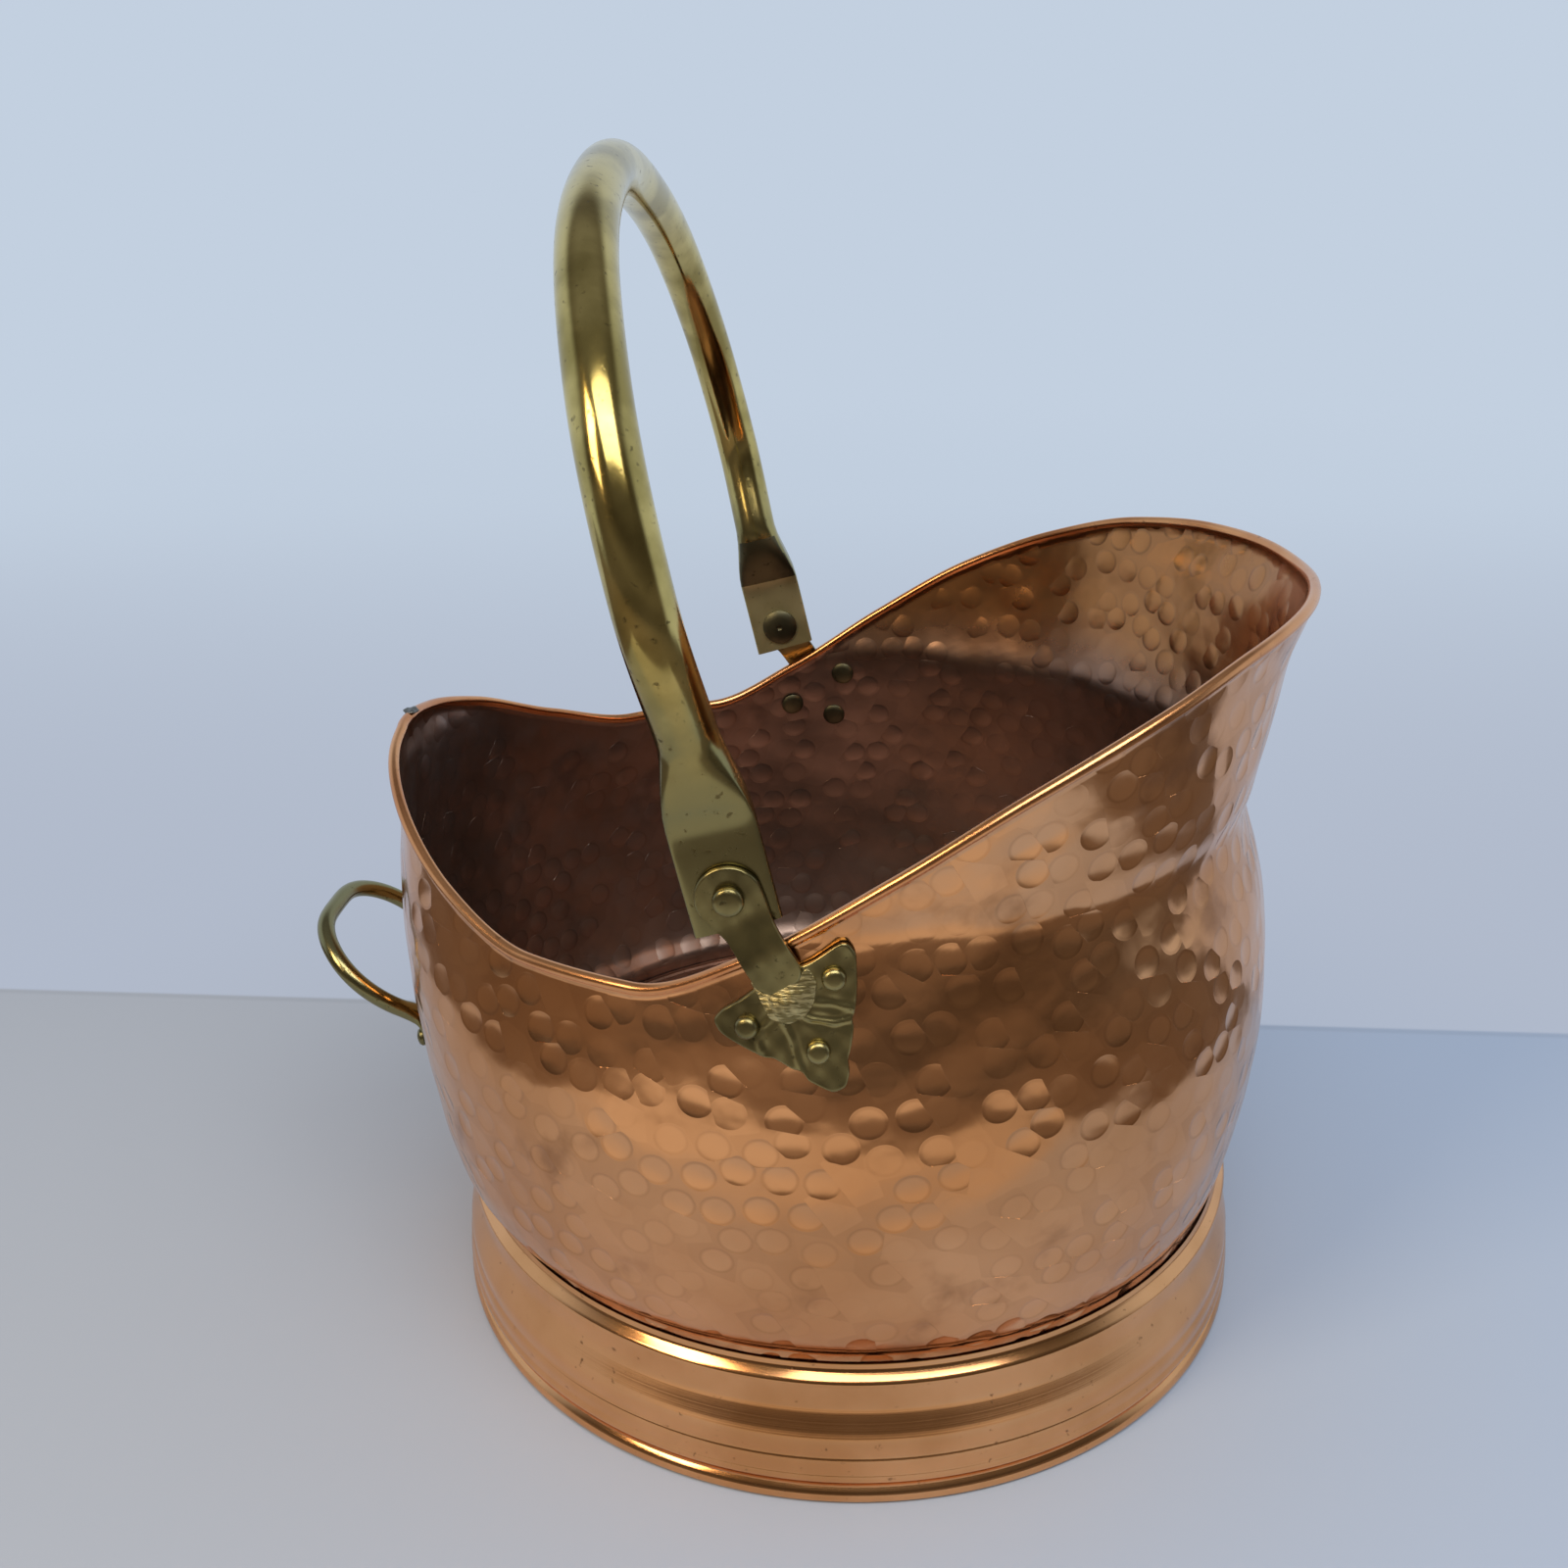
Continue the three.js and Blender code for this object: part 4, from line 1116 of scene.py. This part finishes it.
@dataclass
class TippingLoop:
    """The fixed rod loop at the back with its pressed feet and two rivets."""

    finishes: Finishes
    rod: float = 3.0
    half_width: float = 24.3
    swell: float = 0.3
    square: float = 4.0
    reach: float = 45.7
    rise: float = 42.0
    root: float = 96.5
    pad_drop: float = 13.0
    pad_half: float = 5.0
    pad_thick: float = 1.2
    rivet_drop: float = 8.0
    stations: int = 120
    stand: float = 0.25  # keeps the flat pad clear of the wall's curve

    def pad_point(self, y: float, drop: float, out: float) -> Array:
        """Returns a point over the wall at a drop below the loop's root."""
        radius = WALL.radius_at(math.pi, self.root)
        return np.array(WALL.point(math.pi - math.asin(y / radius), self.root - drop, out))

    def line(self) -> tuple:
        """Returns the rod's middle line and how flat it is pressed along it."""
        out = self.pad_thick + SEAT + self.stand
        y0 = self.half_width
        points = [self.pad_point(y0, d, out) for d in (self.pad_drop, 10.5, self.rivet_drop, 5.5, 3.0)]
        flat = [1.0, 1.0, 1.0, 1.0, 1.0]
        points.append(self.pad_point(y0, -0.6, out + 1.4))
        flat.append(0.5)
        x0 = self.pad_point(0.0, 0.0, 0.0)[0] - 1
        cos_rise, sin_rise = math.cos(self.rise * RAD), math.sin(self.rise * RAD)
        for t in np.linspace(0, 90, 60)[1:] * RAD:
            u = abs(math.sin(t)) ** (2 / self.square)
            w = abs(math.cos(t)) ** (2 / self.square) * (1 + self.swell * u * (1 - u) * 4)
            run = u * self.reach
            if run < 6:  # the rod leaves its foot here
                continue
            points.append(np.array([x0 - run * cos_rise, y0 * w, self.root + run * sin_rise]))
            flat.append(0.0)
        half = np.array(points)
        whole = np.concatenate([half, half[-2::-1] * [1, -1, 1]])
        press = np.array(flat + flat[-2::-1])
        run = run_along(whole)
        line = spaced(whole, self.stations)
        for _ in range(4):
            line[1:-1] = (line[:-2] + 2 * line[1:-1] + line[2:]) / 4
        return line, np.interp(np.linspace(0, run[-1], self.stations + 1), run, press)

    def form(self, u: Array, w: Array) -> Array:
        """Returns the rod's skin, closed at both pressed feet."""
        line, press = self.line()
        along = np.gradient(line, axis=0)
        along /= np.linalg.norm(along, axis=1)[:, None]
        slope = np.array([-math.sin(self.rise * RAD), 0, -math.cos(self.rise * RAD)])
        face = line * [1, 1, 0]
        face /= np.linalg.norm(face, axis=1)[:, None]
        share = smooth(0, 0.5, press)[:, None]
        through = slope * (1 - share) + face * share
        through -= along * (through * along).sum(1)[:, None]
        through /= np.linalg.norm(through, axis=1)[:, None]
        across = np.cross(along, through)
        i, shrink = closed_rows(w, self.stations, 0.9)
        wide = self.rod * (1 - press[i]) + self.pad_half * press[i]
        thick = self.rod * (1 - press[i]) + self.pad_thick * press[i]
        power = 2 + 1.5 * press[i]
        t = u * 2 * math.pi
        a = squarish(np.cos(t), power) * wide * shrink
        b = squarish(np.sin(t), power) * thick * shrink
        return line[i] + a[:, None] * across[i] + b[:, None] * through[i]

    def build(self) -> None:
        """Builds the loop and its rivets."""
        loop = formed_sheet("rear_loop", 28, self.stations + 2 * END_ROWS, self.form)
        soften(loop, 50)
        hand_over(loop, Body.SCUTTLE, self.finishes.tube, ["tipping_loop"])
        head = 2 * self.pad_thick + SEAT * 2 + self.stand
        back = -SHEET - SEAT
        profile = (
            (0, back - 1.2), (2.6, back - 1.15), (3.6, back - 0.85), (4.05, back - 0.3), (4.0, back),
            (1.6, back), (1.6, head), (3.2, head), (3.2, head + 1.0), (2.6, head + 1.8),
            (1.4, head + 2.25), (0, head + 2.3))
        radius = WALL.radius_at(math.pi, self.root)
        for side, sign in (("far", 1), ("near", -1)):
            theta = math.pi - math.asin(sign * self.half_width / radius)
            z = self.root - self.rivet_drop
            rivet = turned(f"rivet_loop_{side}", profile, WALL.point(theta, z), WALL.normal(theta, z), 36)
            hand_over(rivet, Body.SCUTTLE, self.finishes.plate, [f"loop_rivet_{side}"])


# ---------------------------------------------------------------- studio


@dataclass(frozen=True)
class Lamp:
    """A soft lamp, in metres and watts."""

    name: str
    place: tuple
    aim: tuple
    size: tuple
    power: float
    tint: str

    def hang(self) -> None:
        """Hangs the lamp."""
        made = bpy.data.lights.new(self.name, "AREA")
        made.shape = "RECTANGLE"
        made.size, made.size_y = self.size
        made.energy, made.color = self.power, linear(self.tint)[:3]
        lamp = in_scene(self.name, made)
        lamp.location = self.place
        lamp.rotation_euler = (Vector(self.aim) - Vector(self.place)).to_track_quat("-Z", "Y").to_euler()


@dataclass
class Studio:
    """Pale paper floor, soft daylight and the camera of the photograph."""

    camera_place: tuple = (2.5, -470.0, 356.6)  # mm from the foot's centre
    azimuth: float = 2.916
    elevation: float = 21.131
    roll: float = -0.7
    lens: float = 33.75
    # backdrop colours; the paper past its fold line shows them as an emission glow, which is painted light
    wall_high: str = "#C3D0E0"
    wall_low: str = "#B2BBCC"
    floor_left: str = "#A3A9B3"
    floor_right: str = "#A8B5C9"
    # the next colour is painted light: the paper in front made paler, as if window light fell there
    floor_front_painted_light: str = "#B6B5B2"
    # the next colour is painted shade along the fold line
    crease_painted_shade: str = "#5E6470"
    room_floor: str = "#6A625B"
    fold: float = 0.147  # metres behind the middle, where the paper's fold line runs
    paper_ends: tuple = ((1, -0.47, -0.50), (0, 0.34, 0.38), (0, -0.40, -0.44))  # axis, metres from and to
    room: tuple = (  # colours from the floor line up, straight on and then as metal shows them
        (0.0, "#4A4542"), (0.12, "#62605E"), (0.3, "#3C3836"), (0.55, "#8C8E92"), (0.85, "#B9BDC4"))
    room_in_metal: tuple = (
        (0.0, "#57524D"), (0.12, "#66615B"), (0.3, "#3F3B37"), (0.6, "#57544E"), (0.9, "#7E8084"))
    lamps: tuple = (
        Lamp("window_left", (-0.9, -0.9, 1.1), (0, -0.2, 0.05), (0.45, 0.7), 11, "#FFE6C0"),
        Lamp("soft_top", (0.25, -0.85, 1.45), (0, -0.1, 0), (1.3, 0.8), 17, "#F6F4F0"),
    )

    def build_camera(self) -> None:
        """Sets the camera where the photograph was taken."""
        made = bpy.data.cameras.new("camera")
        made.lens, made.sensor_width = self.lens, 36
        made.clip_start, made.clip_end = 0.01, 50
        camera = in_scene("camera", made)
        a, e, r = self.azimuth * RAD, self.elevation * RAD, self.roll * RAD
        back = Vector((math.sin(a) * math.cos(e), -math.cos(a) * math.cos(e), math.sin(e)))
        right = (-back).cross(Vector((0, 0, 1))).normalized()
        up = right.cross(-back)
        side = right * math.cos(r) + up * math.sin(r)
        top = up * math.cos(r) - right * math.sin(r)
        turn = Matrix((side, top, back)).transposed().to_4x4()
        place = Vector(self.camera_place) + Vector((AXIS_X, 0, 0))
        camera.matrix_world = Matrix.Translation(place * MM) @ turn
        bpy.context.scene.camera = camera

    def paper(self) -> bpy.types.Material:
        """Returns matt paper for the flat floor, which changes past its fold line and fades far away.

        To the eye it has no shine and no grain: a pale floor, painted paler in front as painted light, a soft
        line of painted shade at its fold, and past it an emission glow painted on as a backdrop lit evenly.
        Polished metal also shows where it ends, in front and at both sides, and the dim room beyond.
        """
        made, tree, shader, place = blank("matt_paper", 0.0)
        axes = add_node(tree, "SeparateXYZ", {0: place}).outputs
        across, back = axes[0], axes[1]
        slant = 0.03  # the fold isn't quite square to the scuttle
        fold = add_node(tree, "Math", {0: across, 1: slant, 2: back}, operation="MULTIPLY_ADD")
        share = add_node(tree, "MapRange", {0: across, 1: -0.3, 2: 0.35}, **EASED)
        paper = add_node(tree, "Mix", {SHARE: share, FROM: self.floor_left, TO: self.floor_right}, **COLOURS)
        # painted light: the paper in front is made paler where window light would fall
        share = add_node(tree, "MapRange", {0: back, 1: -0.24, 2: -0.34}, **EASED)
        paper = add_node(tree, "Mix", {SHARE: share, FROM: paper, TO: self.floor_front_painted_light}, **COLOURS)
        # a thin dark line of painted shade along the fold line, where the flat paper has no real fold
        gap = add_node(tree, "Math", {0: fold, 1: self.fold}, operation="SUBTRACT")
        gap = add_node(tree, "Math", {0: gap}, operation="ABSOLUTE")
        share = add_node(tree, "MapRange", {0: gap, 1: 0.001, 2: 0.004, 3: 0.12, 4: 0.0}, **EASED)
        paper = add_node(tree, "Mix", {SHARE: share, FROM: paper, TO: self.crease_painted_shade}, **COLOURS)
        beyond: Any = 0.0
        for axis, start, end in self.paper_ends:
            share = add_node(tree, "MapRange", {0: axes[axis], 1: start, 2: end}, **EASED)
            beyond = add_node(tree, "Math", {0: share, 1: beyond}, operation="MAXIMUM")
        light = add_node(tree, "LightPath", {}).outputs
        straight, glossy = light["Is Camera Ray"], light["Is Glossy Ray"]
        beyond = add_node(tree, "Math", {0: beyond, 1: glossy}, operation="MULTIPLY")
        paper = add_node(tree, "Mix", {SHARE: beyond, FROM: paper, TO: self.room_floor}, **COLOURS)
        wire(tree, shader, {"Base Color": paper, "Roughness": 0.9, "Specular IOR Level": 0.2})
        # past its fold line the flat paper glows by emission, painted light for a backdrop lit by daylight
        share = add_node(tree, "MapRange", {0: back, 1: 0.15, 2: 1.6}, **EASED)
        wall = add_node(tree, "Mix", {SHARE: share, FROM: self.wall_low, TO: self.wall_high}, **COLOURS)
        glow = add_node(tree, "Emission", {"Color": wall, "Strength": 1.0})
        away = add_node(tree, "VectorMath", {0: place}, operation="LENGTH")
        past_fold = add_node(tree, "MapRange", {0: fold, 1: self.fold, 2: self.fold + 0.003}, **EASED)
        # the painted glow is weaker near the scuttle, so that its shadow still shows
        lit = add_node(tree, "MapRange", {0: away, 1: 0.1, 2: 0.45, 3: 0.55, 4: 0.95}, **EASED)
        upright = add_node(tree, "Math", {0: past_fold, 1: lit}, operation="MULTIPLY")
        shown = add_node(tree, "Math", {0: straight, 1: glossy}, operation="MAXIMUM")
        share = add_node(tree, "Math", {0: upright, 1: shown}, operation="MULTIPLY")
        sheet = add_node(tree, "MixShader", {0: share, 1: shader, 2: glow})
        faded = add_node(tree, "MapRange", {0: away, 1: 1.2, 2: 2.8}, **EASED)
        clear = add_node(tree, "BsdfTransparent", {})
        surface = add_node(tree, "MixShader", {0: faded, 1: sheet, 2: clear})
        wire(tree, tree.nodes["Material Output"], {"Surface": surface})
        return made

    def build_floor(self) -> None:
        """Lays the paper floor."""
        take()
        bpy.ops.mesh.primitive_circle_add(vertices=96, radius=3.0, fill_type="NGON", location=(0, 0, 0))
        floor = bpy.context.object
        floor.name = "paper_floor"
        floor.data.materials.append(self.paper())
        floor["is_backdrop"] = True

    def build_world(self) -> None:
        """Makes the surroundings: pale paper behind the scuttle and a dim room behind the camera."""
        world = bpy.data.worlds.new("daylight_room")
        bpy.context.scene.world = world
        world.use_nodes = True
        tree = world.node_tree
        tree.nodes.clear()
        ways = add_node(tree, "TexCoord", {}).outputs["Generated"]
        _, back, height = add_node(tree, "SeparateXYZ", {0: ways}).outputs
        rooms = []
        for stops in (self.room, self.room_in_metal):
            rooms.append(add_node(tree, "ValToRGB", {0: height}))
            elements = rooms[-1].color_ramp.elements
            while len(elements) < len(stops):
                elements.new(0.5)
            for element, (level, code) in zip(elements, stops):
                element.position, element.color = level, linear(code)
        light = add_node(tree, "LightPath", {}).outputs
        glossy = light["Is Glossy Ray"]
        room = add_node(tree, "Mix", {SHARE: glossy, FROM: rooms[0], TO: rooms[1]}, **COLOURS)
        # the pale paper behind ends below the ceiling, as polished metal shows
        above = add_node(tree, "MapRange", {0: height, 1: 0.45, 2: 0.75}, **EASED)
        above = add_node(tree, "Math", {0: above, 1: glossy}, operation="MULTIPLY")
        below = add_node(tree, "Math", {0: 1.0, 1: above}, operation="SUBTRACT")
        behind = add_node(tree, "MapRange", {0: back, 1: -0.35, 2: 0.1}, **EASED)
        behind = add_node(tree, "Math", {0: behind, 1: below}, operation="MULTIPLY")
        around = add_node(tree, "Mix", {SHARE: behind, FROM: room, TO: self.wall_high}, **COLOURS)
        # the camera sees paper all round, straight on or through glass
        straight = {0: light["Is Camera Ray"], 1: light["Is Transmission Ray"]}
        straight = add_node(tree, "Math", straight, operation="MAXIMUM")
        mirrored_paper = add_node(tree, "Math", {0: glossy, 1: behind}, operation="MULTIPLY")
        straight = add_node(tree, "Math", {0: straight, 1: mirrored_paper}, operation="MAXIMUM")
        colour = add_node(tree, "Mix", {SHARE: straight, FROM: around, TO: self.wall_high}, **COLOURS)
        shine = add_node(tree, "Background", {"Color": colour, "Strength": 1.0})
        add_node(tree, "OutputWorld", {"Surface": shine})

    def build(self) -> None:
        """Builds the whole studio."""
        self.build_camera()
        self.build_floor()
        self.build_world()
        for lamp in self.lamps:
            lamp.hang()
        bpy.context.scene.view_settings.view_transform = "Standard"


def corners(box: tuple) -> list:
    """Returns a box as plain lists of numbers."""
    return [[float(value) for value in corner] for corner in box]


def main() -> None:
    """Builds the studio and the scuttle."""
    Studio().build()
    finishes = Finishes()
    Bucket(finishes).build()
    bail = Bail(finishes)
    bail.build()
    Brackets(finishes, bail).build()
    TippingLoop(finishes).build()
    take()
    {"cad": corners(CAD_BOX), "visual": corners(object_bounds())}
    log.info("scuttle built")


if __name__ == "__main__":
    main()
